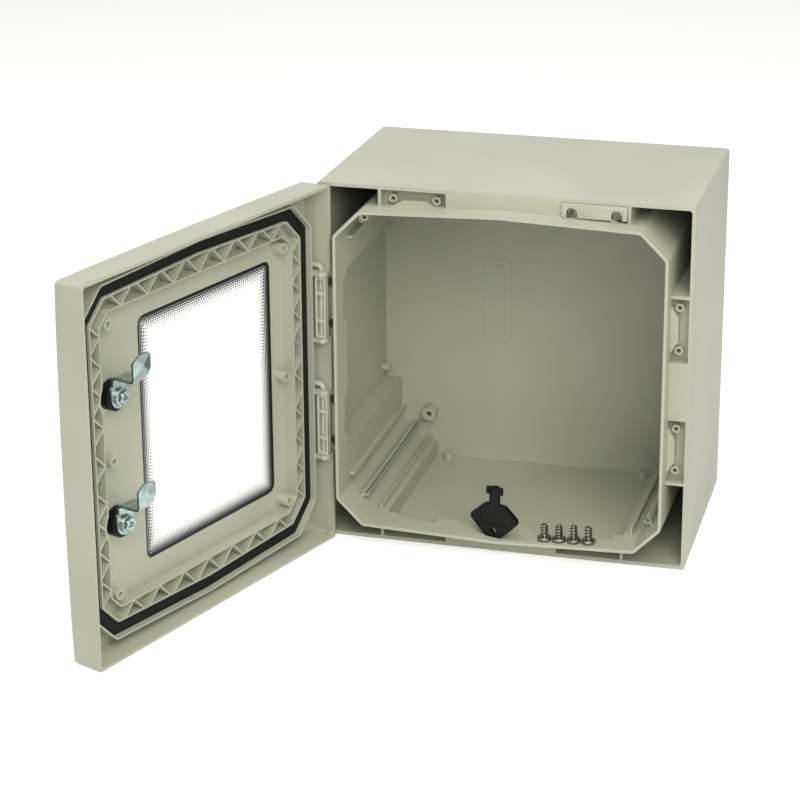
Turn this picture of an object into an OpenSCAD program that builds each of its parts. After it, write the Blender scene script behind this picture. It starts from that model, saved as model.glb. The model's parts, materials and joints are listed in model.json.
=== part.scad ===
// Hinged polycarbonate wall enclosure with a windowed door, drawn with the door open.
// Millimetres, +X right, +Y into the wall, +Z up. The origin is the centre of the
// four wall-fixing holes, on the back face.

/* [Body] */
// Outer width of the body and the door
encl_w = 300; // [280:5:400]
// Outer height of the body and the door
encl_h = 300; // [280:5:400]
// Depth of the body from its rim to the wall
body_d = 181; // [120:1:240]
// Wall of the body's outer shell
shell_t = 3; // [2:0.5:4]
// Back wall of the body
back_t = 3; // [2:0.5:5]
// How much each side draws in between the rim and the back
body_draft = 2.7; // [0.5:0.1:4]
// Radius of the long outer edges
edge_r = 2.5; // [1:0.5:5]
// Spacing of the wall-fixing holes, both ways
wall_pitch = 270; // [264:1:272]
// Diameter of the wall-fixing holes
wall_hole_d = 7; // [5:0.5:8]

/* [Collar and flange] */
// From the outer side to the sealing collar
collar_inset = 17; // [16:0.25:18]
// Wall of the collar and of the inner walls behind it
collar_t = 2.5; // [2:0.25:3]
// How far the collar stands in front of the rim
collar_h = 17; // [14:0.5:17]
// Leg of the collar's chamfered corners
collar_chamfer = 21.5; // [16:0.5:30]
// Bend radius of the collar's corners
collar_r = 6; // [3:0.5:9]
// Rise of the collar's top and bottom runs in mid width, which sheds water
seal_rise = 3.8; // [0:0.2:4]
// Depth of the collar band behind the rim
band_d = 12.7; // [11:0.1:16]
// Thickness of the flange between collar and rim
flange_t = 3; // [2:0.5:4]

/* [Flange pockets] */
// Length of a pocket along its side
pocket_l = 52; // [50:0.5:56]
// Centre of the side pockets above and below mid height
side_pocket_z = 50; // [46:0.5:56]
// Centre of the top and bottom pockets left and right of the middle
top_pocket_x = 71.7; // [66:0.1:76]
// Floor thickness of a pocket
pocket_floor_t = 2; // [1.5:0.5:3]
// Spacing of the two screw bosses in a pocket
boss_pitch = 35; // [33:0.5:36]
// From the outer side to the bosses
boss_inset = 11; // [10.5:0.5:12]
// Diameter of a pocket boss
boss_d = 7; // [6:0.5:7.5]
// Hole in a pocket boss
boss_hole_d = 3.5; // [2.5:0.1:4]
// Boss tops below the rim
boss_top = 5; // [4:0.5:6]
// Front of the cam catch below the rim
catch_top = 1.5; // [1:0.25:2]
// Wall of the cam catch
catch_t = 2; // [1.5:0.25:2.25]
// How far the catch stands out of the collar
catch_out = 5.9; // [5:0.1:6.2]
// Length of the catch at the collar
catch_base = 40; // [36:1:42]
// Length of the catch at its outer face
catch_tip = 18; // [14:1:20]

/* [Body interior] */
// Spacing of the mounting-plate bosses, both ways
plate_pitch = 206; // [180:1:212]
// Diameter of a mounting-plate boss
plate_boss_d = 12; // [10:0.5:14]
// Height of a mounting-plate boss above the back wall
plate_boss_h = 13; // [8:1:20]
// Hole in a mounting-plate boss
plate_hole_d = 4.7; // [4:0.1:6]
// Outer diameter of the corner screw channels
channel_d = 6.2; // [5.6:0.1:7]
// Bore of the corner screw channels
channel_bore_d = 3.4; // [2.8:0.1:4]
// Height of the corner guide ribs
guide_h = 4.5; // [3:0.5:6]
// Thickness of the corner guide ribs
guide_t = 2.2; // [1.5:0.1:3]
// From a side ledge to the guide rib beside it
side_guide_gap = 25.5; // [18:0.5:28]
// From a top or bottom ledge to the guide rib beside it
top_guide_gap = 6; // [4:0.5:8]
// Diameter of the small wall bosses near the back
stud_d = 7; // [6:0.5:8]
// Height of the small wall bosses
stud_h = 6; // [4:0.5:8]
// Hole in the small wall bosses
stud_hole_d = 3; // [2:0.25:4]
// Small side-wall bosses above and below mid height
side_stud_z = 64; // [50:1:70]
// Small floor and roof bosses left and right of the middle
floor_stud_x = 86; // [60:1:92]
// Small wall bosses in front of the wall plane
stud_y = 13; // [10:1:30]

/* [Door] */
// Depth of the door at its corners
tray_d = 27.2; // [26:0.2:30]
// How much the front bulges between corner and middle
door_crown = 3; // [2:0.5:5]
// Side walls of the door
door_t = 2.5; // [2:0.25:3]
// Front panel of the door
panel_t = 3; // [2.5:0.1:3.5]
// How much each side of the door draws in over its depth
door_draft = 1.2; // [0.5:0.1:2]
// Gap between the door's rim and the body's rim
door_gap = 2.2; // [2.2:0.1:3]
// Angle that the door stands open
door_open = 108.8; // [0:0.1:116]
// From the outer side to the hinge axis
hinge_inset = 5.2; // [5:0.1:5.6]
// Hinge axis in front of the body's rim
hinge_front = 8.4; // [8.4:0.1:9]

/* [Door frame ribs] */
// From the outer side to the wall outside the gasket
seal_wall_inset = 10.5; // [10:0.25:11.5]
// Thickness of the wall outside the gasket
seal_wall_t = 1.5; // [1.2:0.1:2]
// Leg of the chamfered corners of that wall
seal_wall_chamfer = 23; // [18:0.5:28]
// Top of that wall in front of the body's rim
seal_wall_top = 13; // [12.8:0.1:14]
// From the outer side to the outer wall of the truss
truss_inset = 22.2; // [22:0.1:24]
// Width of the truss
truss_band = 10.5; // [9:0.25:12]
// Leg of the chamfered corners of the truss
truss_chamfer = 17.5; // [14:0.5:24]
// Thickness of the truss walls and webs
truss_t = 1.3; // [1:0.1:1.8]
// Top of the truss in front of the body's rim
truss_top = 15.8; // [15.6:0.1:17]
// Number of truss bays along the top and bottom
truss_bays = 7; // [3:2:7]
// Length of a truss bay along the top and bottom
truss_bay = 30.5; // [24:0.5:31]
// Length of a truss bay along the sides
side_bay = 23.3; // [20:0.1:24]
// Gasket channel floor in front of the body's rim
channel_floor = 20.5; // [19.5:0.1:21.5]
// Gap between the gasket and the closed collar
gasket_gap = 0.3; // [0.3:0.05:0.5]

/* [Window and panel] */
// Width of the window opening
window_w = 163; // [120:1:170]
// Height of the window opening
window_h = 195; // [120:1:200]
// Middle of the window from the middle of the door, towards the hinge
window_shift = 18.9; // [12:0.1:20]
// Corner radius of the window opening
window_r = 7; // [3:0.5:12]
// How far the pane laps over the opening
pane_lap = 7; // [6:0.5:8]
// Thickness of the pane
pane_t = 2; // [1.5:0.1:2.2]
// Thickness of the window seal
pane_seal_t = 0.6; // [0.4:0.1:0.9]
// Width of the window seal
pane_seal_w = 5; // [3:0.5:6]
// From the outer side to the screw bosses of the panel
panel_boss_inset = 43.5; // [41:0.5:46]
// Diameter of a panel boss
panel_boss_d = 8.6; // [7:0.2:9]
// Hole in a panel boss
panel_boss_hole_d = 4.6; // [3:0.2:5]
// Top of the panel bosses in front of the body's rim
panel_boss_top = 16; // [15:0.2:18]

/* [Hinges] */
// Radius of a hinge pin
pin_r = 2.2; // [1.8:0.1:2.3]
// Running clearance of the pin in the body-side block
pin_play = 0.05; // [0.02:0.01:0.1]
// Radius of the block's knuckle
knuckle_r = 4.4; // [4:0.1:4.6]
// Front of the block ahead of the hinge axis
ladder_front = 4; // [3.5:0.1:4.2]
// Width of the block's windows
ladder_window_w = 5.2; // [4.4:0.1:5.6]
// Height of the middle window
ladder_mid_h = 20; // [16:0.5:22]
// Height of the end windows
ladder_end_h = 10.6; // [8:0.2:11]
// Bars between the windows
ladder_bar = 2.6; // [2:0.2:3]
// Width of the block's neck
neck_w = 4.5; // [3.5:0.1:4.6]
// Thickness of the door's hinge ears
ear_t = 3.6; // [3:0.1:4.5]
// Radius of the ears' round ends
ear_r = 6.2; // [5:0.1:6.2]
// Gap between block and ears, and round the blocks in their pockets
block_gap = 0.3; // [0.2:0.05:0.5]
// Bend radius of the pin's arm
pin_bend = 4; // [3:0.25:5]
// Straight length of the pin's arm
pin_arm = 8; // [5:0.5:9]
// Pin end below the lower ear
pin_tail = 2.5; // [1.5:0.25:4]
// Lean of the pin's arm towards the gasket wall
pin_lean = 10; // [8:1:14]
// Depth of the door's wall notch in front of the body's rim
notch_d = 14.5; // [14:0.25:16]

/* [Block screws and pocket insert] */
// Head diameter of the block screws
bolt_head_d = 8; // [7:0.2:8.4]
// Head height of the block screws
bolt_head_h = 2.4; // [2:0.1:2.6]
// Depth of the screw seat below the rim
seat_depth = 2.4; // [2:0.1:2.8]
// Length of the screw thread under its head
bolt_l = 9; // [6:0.5:9.2]
// Clearance of a screw thread in its hole
thread_play = 0.05; // [0.02:0.01:0.1]
// Face of the pocket insert in front of the rim
insert_face = 2; // [0:0.25:3]

/* [Locks] */
// From the outer side of the free edge to the lock axes
lock_inset = 49.6; // [49:0.1:52]
// Diameter of the lock barrel
barrel_d = 23; // [20:0.5:24]
// Diameter of the lock's outer flange
lock_flange_d = 31; // [28:0.5:34]
// Thickness of the lock's outer flange
lock_flange_t = 2.5; // [2:0.25:3.5]
// Flat seat of the lock below the middle of the door's front
lock_recess = 1; // [0.8:0.1:1.4]
// Thickness of the lock's flat seal
lock_seal_t = 0.8; // [0.5:0.1:1.2]
// Thickness of the lock nut
nut_t = 2.5; // [2:0.25:4]
// Across flats of the lock nut
nut_af = 30; // [28:0.5:31]
// Inner end of the lock barrel, in front of the body's rim
barrel_end = 15.7; // [15.6:0.1:17]
// Gap between the barrel and the cam
cam_gap = 0.3; // [0.3:0.1:0.5]
// Thickness of the cam's sheet steel
cam_t = 2.2; // [1.8:0.1:2.5]
// Half width of the cam's foot
cam_half = 9; // [8:0.25:10]
// From the lock axis to the cam's web
cam_web = 14.5; // [12:0.25:15]
// Inner face of the cam's tongue behind the body's rim
tongue_y = 4; // [3.8:0.1:4.5]
// Reach of the cam's tongue from the lock axis
tongue_reach = 34; // [33:0.1:34.4]
// Tongue width towards the hinge side of the axis
tongue_in = 13; // [10:0.25:13.5]
// Tongue width towards the free edge side of the axis
tongue_out = 6.5; // [5:0.25:7]
// Radius of the spindle
spindle_r = 6; // [5:0.25:6.5]
// Radius of the spindle's outer head
spindle_head_r = 8.5; // [7.5:0.25:9]
// Height of the spindle's outer head
spindle_head_h = 8; // [7:0.25:9]
// Running clearance of the spindle in the barrel
spindle_play = 0.05; // [0.02:0.01:0.1]
// Side of the spindle's square end
square_s = 7; // [6:0.25:7.5]
// Thickness of the cam washer
washer_t = 1.5; // [1:0.1:2]
// Diameter of the cam washer
washer_d = 13.5; // [12:0.5:15]
// Across flats of the cam bolt
cam_bolt_af = 10; // [8:0.5:11]
// Head height of the cam bolt
cam_bolt_h = 4.5; // [3:0.25:5]
// Thread radius of the cam bolt
cam_bolt_r = 2.5; // [2:0.25:3]

/* [Key] */
// Width of the key's bow
bow_w = 39; // [32:1:44]
// Height of the key's bow
bow_h = 28; // [24:1:32]
// Thickness of the key's bow
bow_t = 5; // [4:0.5:7]
// Diameter of the key's shank
shank_d = 9; // [8:0.1:9.2]
// Length of the shank above the bow
shank_l = 14.5; // [12:0.5:20]
// Width across the key's two bits
bit_w = 14; // [12:0.2:14.4]
// Height of a key bit
bit_h = 6; // [4:0.5:7]
// Thickness of a key bit
bit_t = 3; // [2:0.25:4]
// Diameter of the hole for the lock's centre pin
key_bore_d = 3.6; // [3:0.1:4.5]
// Place of the key along the collar
key_x = -3; // [-3:0.5:3]
// Angle that the key is turned
key_turn = -14; // [-14:1:14]
// From the collar's front edge back to the loose pieces that stand on it
stand_in = 9; // [9:0.5:14]

/* [Plate screws] */
// Number of mounting-plate screws supplied
plate_screws_n = 4; // [1:1:4]
// Place of the first screw along the collar
screw_x0 = 38.2; // [30:0.1:44]
// Spacing of the screws along the collar
screw_pitch = 11.9; // [11.9:0.1:13]
// Head diameter of a plate screw
screw_head_d = 11.2; // [9:0.2:11.4]
// Head height of a plate screw
screw_head_h = 3.4; // [2.5:0.1:4.5]
// Core diameter of a plate screw
screw_core_d = 4.2; // [3:0.1:4.6]
// Length of a plate screw under its head
screw_l = 11; // [8:0.5:16]

/* [Hidden] */
$fn = 48;

// Overshoot of a cut past the face it opens
over = 1;
// Sink of one form into another of the same piece
sink = 0.5;
// Steps of a rounded bend in an outline
bend_steps = 4;
// Outline corners that turn by less than this stay sharp
flattest_corner = 10;
half_w = encl_w / 2;
half_h = encl_h / 2;
collar_x = half_w - collar_inset;
collar_z = half_h - collar_inset;
boss_u = collar_inset - boss_inset;
pocket_u = collar_inset - shell_t;
ledge_z = side_pocket_z + pocket_l / 2;
ledge_x = top_pocket_x + pocket_l / 2;
collar_run = collar_x - collar_t - inner_chamfer(collar_chamfer, collar_t);
floor_slope = atan(seal_rise / collar_run);
stand_y = -body_d - collar_h + stand_in;
hinge_u = collar_inset - hinge_inset;
hinge_x = -half_w + hinge_inset;
hinge_y = -body_d - hinge_front;
crown_power = 4;
lock_x = half_w - lock_inset;
block_l = pocket_l - 2 * block_gap;
crown_r = norm([half_w, half_h]);
front_mid = tray_d + door_crown;
rib_root = front_mid;
gasket_top = collar_h + gasket_gap;
cam_base = barrel_end - cam_gap;
pane_drop = door_crown * pow(norm([window_w / 2 + window_shift + pane_lap,
    window_h / 2 + pane_lap]) / crown_r, crown_power);
pane_front = front_mid - pane_drop - 0.1;
pane_back = pane_front - pane_t;
seal_back = pane_back - pane_seal_t;
lip_back = seal_back - 1;
lock_z = side_pocket_z;
lock_seat = front_mid - lock_recess;
nut_seat = lip_back;
lock_front = lock_seat + lock_seal_t + lock_flange_t;
head_front = lock_front - 0.8;
head_back = head_front - spindle_head_h;
dent_r = nut_af / sqrt(3) + 1.2;
ear_z = block_l / 2 + block_gap;
arm_z = ear_z + ear_t + pin_bend + block_gap;
cam_face = cam_base - cam_t;
body_grey = "#b9bcae";
rubber_black = "#1d1d1c";
zinc = "#aebcbd";
steel = "#9b9890";

// ---- outlines -------------------------------------------------------------------

function unit(v) = v / norm(v);

// Arc that replaces corner p of an outline, between its neighbours a and b.
function bend(a, p, b, r) =
    let (u = unit(a - p), v = unit(b - p), half = acos(u * v) / 2,
         c = p + unit(u + v) * r / sin(half), s = p + u * r / tan(half) - c,
         turn = (u[0] * v[1] - u[1] * v[0] > 0 ? -1 : 1) * (180 - 2 * half),
         start = atan2(s[1], s[0]))
    [for (i = [0:bend_steps]) c + r * [cos(start + turn * i / bend_steps),
                                       sin(start + turn * i / bend_steps)]];

// An outline with its corners rounded; the shallow peaks stay as they are.
function rounded(points, r) =
    let (n = len(points))
    [for (i = [0:n - 1])
        let (a = points[(i + n - 1) % n], p = points[i], b = points[(i + 1) % n])
        each unit(a - p) * unit(b - p) < -cos(flattest_corner) ? [p] : bend(a, p, b, r)];

// Chamfered rectangle whose top and bottom runs rise to a shallow peak in mid width.
function octagon(hx, hz, c, rise = 0) =
    let (right = [[hx, -hz + c], [hx, hz - c], [hx - c, hz]],
         peak = rise > 0 ? [[0, hz + rise]] : [],
         half = concat(right, peak))
    concat(half, [for (p = [[-hx + c, hz], [-hx, hz - c], [-hx, -hz + c], [-hx + c, -hz]]) p],
           [for (p = peak) -p], [[hx - c, -hz]]);

// Chamfer leg of the parallel outline t further in.
function inner_chamfer(c, t) = c - t * (2 - sqrt(2));

module collar_outline(t) {
    polygon(rounded(octagon(collar_x - t, collar_z - t, inner_chamfer(collar_chamfer, t),
                            seal_rise), collar_r - t / 2));
}

module plate(hx, hz) {
    square([2 * hx, 2 * hz], center = true);
}

module round_plate(hx, hz, r) {
    polygon(rounded([[hx, -hz], [hx, hz], [-hx, hz], [-hx, -hz]], r));
}

// ---- placing ----------------------------------------------------------------------

// A flat outline in x and z, standing between two depths behind the rim.
module behind_rim(y0, y1) {
    translate([0, y1 - body_d, 0])
        rotate([90, 0, 0])
            linear_extrude(y1 - y0)
                children();
}

// The same in front of the rim, between depths d0 and d1 of the door.
module before_rim(d0, d1) {
    behind_rim(-d1, -d0)
        children();
}

// A rod along y between two depths behind the rim.
module rod(x, z, r, y0, y1) {
    translate([x, y1 - body_d, z])
        rotate([90, 0, 0])
            cylinder(r = r, h = y1 - y0);
}

// A block whose sides draw in from the rim; grow is added all round.
module drafted_body(grow, y0, y1) {
    run = y1 - y0;
    hx = half_w + grow - body_draft * y0 / body_d;
    hz = half_h + grow - body_draft * y0 / body_d;
    fall = body_draft * run / body_d;
    translate([0, y0 - body_d, 0])
        rotate([-90, 0, 0])
            linear_extrude(run, scale = [(hx - fall) / hx, (hz - fall) / hz])
                round_plate(hx, hz, edge_r);
}

// Puts children in one pocket's own frame: x outward from the collar, y from the rim
// inward, z along the side.
module in_side_pocket(side, along) {
    translate([side * collar_x, -body_d, along * side_pocket_z])
        mirror([side < 0 ? 1 : 0, 0, 0])
            children();
}

module in_top_pocket(side, along) {
    translate([along * top_pocket_x, -body_d, side * collar_z])
        rotate([0, -90 * side, 0])
            children();
}

module in_all_pockets() {
    for (side = [-1, 1], along = [-1, 1]) {
        in_side_pocket(side, along)
            children();
        in_top_pocket(side, along)
            children();
    }
}

// Turns children from the closed door to where it stands.
module on_door() {
    translate([hinge_x, hinge_y, 0])
        rotate([0, 0, -door_open])
            translate([-hinge_x, -hinge_y, 0])
                children();
}

// ---- body ---------------------------------------------------------------------------

// Outline of a cam catch in the pocket's frame, inset by t.
module catch_outline(t) {
    slope = (catch_base - catch_tip) / 2 / catch_out;
    shift = t * sqrt(1 + slope * slope);
    inner = -collar_t - sink;
    outer = catch_out - t;
    polygon([[t > 0 ? inner : -sink, -catch_base / 2 + shift + slope * (t > 0 ? inner : 0)],
        [outer, -catch_base / 2 + shift + slope * outer],
        [outer, catch_base / 2 - shift - slope * outer],
        [t > 0 ? inner : -sink, catch_base / 2 - shift - slope * (t > 0 ? inner : 0)]]);
}

// A flat outline in the pocket's frame, standing from y0 to y1.
module pocket_slab(y0, y1) {
    translate([0, y1, 0])
        rotate([90, 0, 0])
            linear_extrude(y1 - y0)
                children();
}

module pocket_hollow() {
    floor_y = band_d - pocket_floor_t;
    difference() {
        pocket_slab(-over, floor_y)
            translate([0, -pocket_l / 2])
                square([pocket_u, pocket_l]);
        pocket_slab(catch_top, band_d)
            catch_outline(0);
        for (v = [-1, 1])
            translate([boss_u, floor_y + sink, v * boss_pitch / 2])
                rotate([90, 0, 0])
                    cylinder(d = boss_d, h = floor_y + sink - boss_top);
    }
}

module pocket_boss_holes() {
    hole_end = band_d - 1;
    for (v = [-1, 1])
        translate([boss_u, hole_end, v * boss_pitch / 2])
            rotate([90, 0, 0])
                cylinder(d = boss_hole_d, h = hole_end - boss_top + over);
}

module catch_recess() {
    pocket_slab(catch_top + catch_t, band_d + over)
        catch_outline(catch_t);
}

// The cavity behind the collar band: an octagon that widens to the shell in mid side.
module chamber() {
    intersection() {
        behind_rim(band_d, body_d - back_t)
            union() {
                collar_outline(collar_t);
                plate(half_w, ledge_z);
                plate(ledge_x, half_h);
            }
        drafted_body(-shell_t, 0, body_d - back_t);
    }
}

// The four deep wells between the square shell and the octagonal inner wall.
module corner_wells() {
    intersection() {
        behind_rim(-over, body_d - back_t)
            difference() {
                plate(half_w, half_h);
                collar_outline(0);
                plate(half_w, ledge_z + collar_t);
                plate(ledge_x + collar_t, half_h);
            }
        drafted_body(-shell_t, -over, body_d - back_t);
    }
}

// Hollows behind the flange, between the pockets of one side.
module flange_hollows() {
    side_run = side_pocket_z - pocket_l / 2 - collar_t;
    top_run = top_pocket_x - pocket_l / 2 - collar_t;
    behind_rim(flange_t, band_d + sink)
        difference() {
            union() {
                plate(half_w - shell_t, side_run);
                plate(top_run, half_h - shell_t);
            }
            collar_outline(0);
        }
}

// Screw channel and guide ribs of one corner, drawn for the corner at +x and +z.
module corner_rails() {
    leg = inner_chamfer(collar_chamfer, collar_t);
    mid_x = collar_x - collar_t - leg / 2;
    mid_z = collar_z - collar_t - leg / 2;
    stand_off = channel_d * 0.8;
    slot_w = channel_bore_d * 0.55;
    rail_start = band_d + 2;
    difference() {
        behind_rim(rail_start, body_d - back_t)
            translate([mid_x, mid_z])
                rotate(45)
                    difference() {
                        union() {
                            translate([-stand_off, 0])
                                circle(d = channel_d);
                            translate([-stand_off, -guide_t / 2])
                                square([stand_off + sink, guide_t]);
                        }
                        translate([-stand_off, 0])
                            circle(d = channel_bore_d);
                        translate([-stand_off - channel_d, -slot_w / 2])
                            square([channel_d, slot_w]);
                    }
    }
    behind_rim(rail_start, body_d - back_t) {
        translate([collar_x - collar_t - guide_h, ledge_z + side_guide_gap - guide_t / 2])
            square([guide_h + sink, guide_t]);
        translate([ledge_x + top_guide_gap - guide_t / 2, collar_z - collar_t - guide_h])
            square([guide_t, guide_h + sink]);
    }
}

module in_four_corners() {
    for (x = [0, 1], z = [0, 1])
        mirror([x, 0, 0])
            mirror([0, 0, z])
                children();
}

// Small bosses on the side walls, floor and roof near the back.
module wall_studs(d, extra) {
    wall_x = half_w - shell_t - body_draft;
    wall_z = half_h - shell_t - body_draft;
    for (side = [0, 1], along = [-1, 1]) {
        mirror([side, 0, 0])
            translate([wall_x - stud_h - extra, -stud_y, along * side_stud_z])
                rotate([0, 90, 0])
                    cylinder(d = d, h = stud_h + sink + extra);
        mirror([0, 0, side])
            translate([along * floor_stud_x, -stud_y, wall_z - stud_h - extra])
                cylinder(d = d, h = stud_h + sink + extra);
    }
}

// Boss beside the upper left chamfer of the collar, for a door stay.
module stay_boss() {
    stay_d = 6;
    drop = 4;
    x = -collar_x + collar_chamfer + collar_t + 0.4;
    z = collar_z - collar_t - drop;
    difference() {
        union() {
            rod(x, z, stay_d / 2, -10, band_d);
            behind_rim(-10, band_d)
                translate([x - stay_d / 2, z])
                    square([stay_d, drop + sink]);
        }
        rod(x, z, 1.7, -10 - over, 2);
    }
}

module stay_recess() {
    leg = inner_chamfer(collar_chamfer, collar_t);
    recess_l = 17;
    recess_deep = 1.2;
    behind_rim(-collar_h + 3, -4)
        translate([-collar_x + collar_t + leg / 2, collar_z - collar_t - leg / 2])
            rotate(135)
                translate([-1, -recess_l / 2])
                    square([1 + recess_deep, recess_l]);
}

module base_housing() {
    color(body_grey)
        difference() {
            union() {
                difference() {
                    union() {
                        drafted_body(0, 0, body_d);
                        before_rim(-band_d, collar_h)
                            collar_outline(0);
                    }
                    behind_rim(-collar_h - over, band_d + sink)
                        collar_outline(collar_t);
                    chamber();
                    corner_wells();
                    difference() {
                        in_all_pockets()
                            pocket_hollow();
                        behind_rim(-2 * over, band_d)
                            collar_outline(0);
                    }
                    in_all_pockets()
                        catch_recess();
                    flange_hollows();
                }
                in_four_corners()
                    corner_rails();
                for (x = [-1, 1], z = [-1, 1])
                    rod(x * plate_pitch / 2, z * plate_pitch / 2, plate_boss_d / 2,
                        body_d - back_t - plate_boss_h, body_d - back_t + sink);
                wall_studs(stud_d, 0);
                stay_boss();
            }
            in_all_pockets()
                pocket_boss_holes();
            for (x = [-1, 1], z = [-1, 1]) {
                rod(x * wall_pitch / 2, z * wall_pitch / 2, wall_hole_d / 2,
                    body_d - back_t - over, body_d + over);
                rod(x * plate_pitch / 2, z * plate_pitch / 2, plate_hole_d / 2,
                    body_d - back_t - plate_boss_h - over, body_d - back_t);
            }
            wall_studs(stud_hole_d, over);
            stay_recess();
        }
}

// ---- blocks in the flange pockets ---------------------------------------------------

// Foot that fills a pocket and is screwed to its two bosses; top is its face above
// the rim, or below it where negative, and near is its edge beside the collar.
module pocket_foot(top, near) {
    difference() {
        pocket_slab(-top, boss_top)
            translate([near, -block_l / 2])
                square([pocket_u - block_gap - near, block_l]);
        pocket_slab(catch_top - block_gap, boss_top + over)
            offset(delta = block_gap)
                catch_outline(0);
        for (v = [-1, 1])
            translate([boss_u, 0, v * boss_pitch / 2])
                rotate([90, 0, 0]) {
                    translate([0, 0, -seat_depth])
                        cylinder(d = bolt_head_d + 2 * block_gap, h = seat_depth + top + over);
                    translate([0, 0, -boss_top - over])
                        cylinder(d = boss_hole_d + 4 * block_gap, h = boss_top + 2 * over);
                }
    }
}

// Body-side half of a hinge: foot, neck and a ladder-like knuckle for the pin.
module hinge_block() {
    foot_top = -block_gap;
    end_z = ladder_mid_h / 2 + ladder_bar + ladder_end_h / 2;
    color(body_grey)
        difference() {
            union() {
                pocket_foot(foot_top, block_gap);
                translate([hinge_u, -hinge_front, -block_l / 2])
                    cylinder(r = knuckle_r, h = block_l);
                translate([hinge_u - knuckle_r, -hinge_front - ladder_front, -block_l / 2])
                    cube([2 * knuckle_r, ladder_front, block_l]);
                translate([hinge_u - knuckle_r - sink, -hinge_front, -block_l / 2])
                    cube([neck_w, hinge_front - foot_top + sink, block_l]);
            }
            translate([hinge_u, -hinge_front, -block_l / 2 - over])
                cylinder(r = pin_r + pin_play, h = block_l + 2 * over);
            ladder_window(0, ladder_mid_h);
            ladder_window(end_z, ladder_end_h);
            ladder_window(-end_z, ladder_end_h);
            pocket_slab(catch_top - block_gap, boss_top + over)
                offset(delta = block_gap)
                    catch_outline(0);
            for (v = [-1, 1])
                translate([boss_u, seat_depth, v * boss_pitch / 2])
                    rotate([90, 0, 0])
                        cylinder(d = bolt_head_d + 2 * block_gap, h = hinge_front);
        }
}

module ladder_window(z, h) {
    translate([hinge_u - ladder_window_w / 2, -hinge_front - ladder_front - over, z - h / 2])
        cube([ladder_window_w, ladder_front + over, h]);
}

// Cross-recess pan-head screw, head outward, seated at the given depth.
module block_screw() {
    recess_d = bolt_head_d * 0.5;
    recess_w = bolt_head_d * 0.13;
    translate([boss_u, seat_depth, 0])
        rotate([90, 0, 0])
            difference() {
                union() {
                    intersection() {
                        cylinder(d = bolt_head_d, h = bolt_head_h);
                        translate([0, 0, bolt_head_h - bolt_head_d])
                            sphere(r = bolt_head_d);
                    }
                    translate([0, 0, -bolt_l])
                        cylinder(d = boss_hole_d - 2 * thread_play, h = bolt_l + sink);
                }
                for (turn = [45, 135])
                    rotate(turn)
                        translate([-recess_d / 2, -recess_w / 2, bolt_head_h * 0.45])
                            cube([recess_d, recess_w, bolt_head_h]);
            }
}

module screw_pair() {
    for (v = [-1, 1])
        translate([0, 0, v * boss_pitch / 2])
            block_screw();
}

module hinge_block_screws() {
    color(steel)
        for (along = [-1, 1])
            in_side_pocket(-1, along)
                screw_pair();
}

// Insert that stands out of the pocket, with its screw seats open towards the collar.
module pocket_insert() {
    seat_w = bolt_head_d + 2 * block_gap;
    rise_here = seal_rise * (1 - (top_pocket_x - pocket_l / 2) / (collar_x - collar_chamfer));
    color(body_grey)
        in_top_pocket(1, 1)
            difference() {
                pocket_foot(insert_face, rise_here + block_gap);
                for (v = [-1, 1])
                    pocket_slab(-insert_face - over, seat_depth)
                        translate([-over, v * boss_pitch / 2 - seat_w / 2])
                            square([boss_u + over, seat_w]);
            }
}

module pocket_insert_screws() {
    color(steel)
        in_top_pocket(1, 1)
            screw_pair();
}

// ---- door ---------------------------------------------------------------------------

// Everything behind a dome that lies `depth` in front of the rim at the door's middle.
module dome(depth) {
    rings = 10;
    reach = crown_r + 5;
    translate([0, -body_d, 0])
        rotate([90, 0, 0])
            rotate_extrude($fn = 120)
                polygon(concat([[0, 0], [reach, 0]],
                    [for (i = [rings:-1:0])
                        [reach * i / rings,
                         depth - door_crown * pow(reach * i / rings / crown_r, crown_power)]]));
}

// Block of the door whose sides draw in towards its front; grow is added all round.
module drafted_door(grow, d0, d1) {
    hx = half_w + grow - door_draft * d0 / tray_d;
    hz = half_h + grow - door_draft * d0 / tray_d;
    fall = door_draft * (d1 - d0) / tray_d;
    translate([0, -d0 - body_d, 0])
        rotate([90, 0, 0])
            linear_extrude(d1 - d0, scale = [(hx - fall) / hx, (hz - fall) / hz])
                round_plate(hx, hz, edge_r);
}

// An octagon with its sides `inset` in from the door's outer sides.
module octagon_plate(inset, c, r, rise = seal_rise) {
    polygon(rounded(octagon(half_w - inset, half_h - inset, c, rise), r));
}

// A ring between two octagons, the outer one `inset` from the outer sides.
module octagon_ring(inset, c, t, r, rise = seal_rise) {
    difference() {
        octagon_plate(inset, c, r, rise);
        octagon_plate(inset + t, inner_chamfer(c, t), max(r - t / 2, 0.5), rise);
    }
}

// One V of the truss: apex on the inner wall, ends on the outer; drawn on the +z side.
module truss_vee(run) {
    leg = run * sqrt(2);
    for (side = [-1, 1])
        rotate(90 + side * 45)
            translate([0, -truss_t / 2])
                square([leg, truss_t]);
}

module truss_webs() {
    side_bays = 4;
    first_bay = 1.27;
    for (half = [0, 180], i = [0:truss_bays - 1])
        rotate(half)
            translate([(i - (truss_bays - 1) / 2) * truss_bay,
                       half_h - truss_inset - truss_band - truss_t / 2])
                truss_vee(truss_band + seal_rise);
    for (half = [90, 270])
        rotate(half)
            translate([0, half_w - truss_inset - truss_band - truss_t / 2]) {
                truss_vee(truss_band);
                for (side = [-1, 1], i = [0:side_bays - 1])
                    translate([side * (i + first_bay) * side_bay, 0])
                        truss_vee(truss_band);
            }
}

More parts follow.
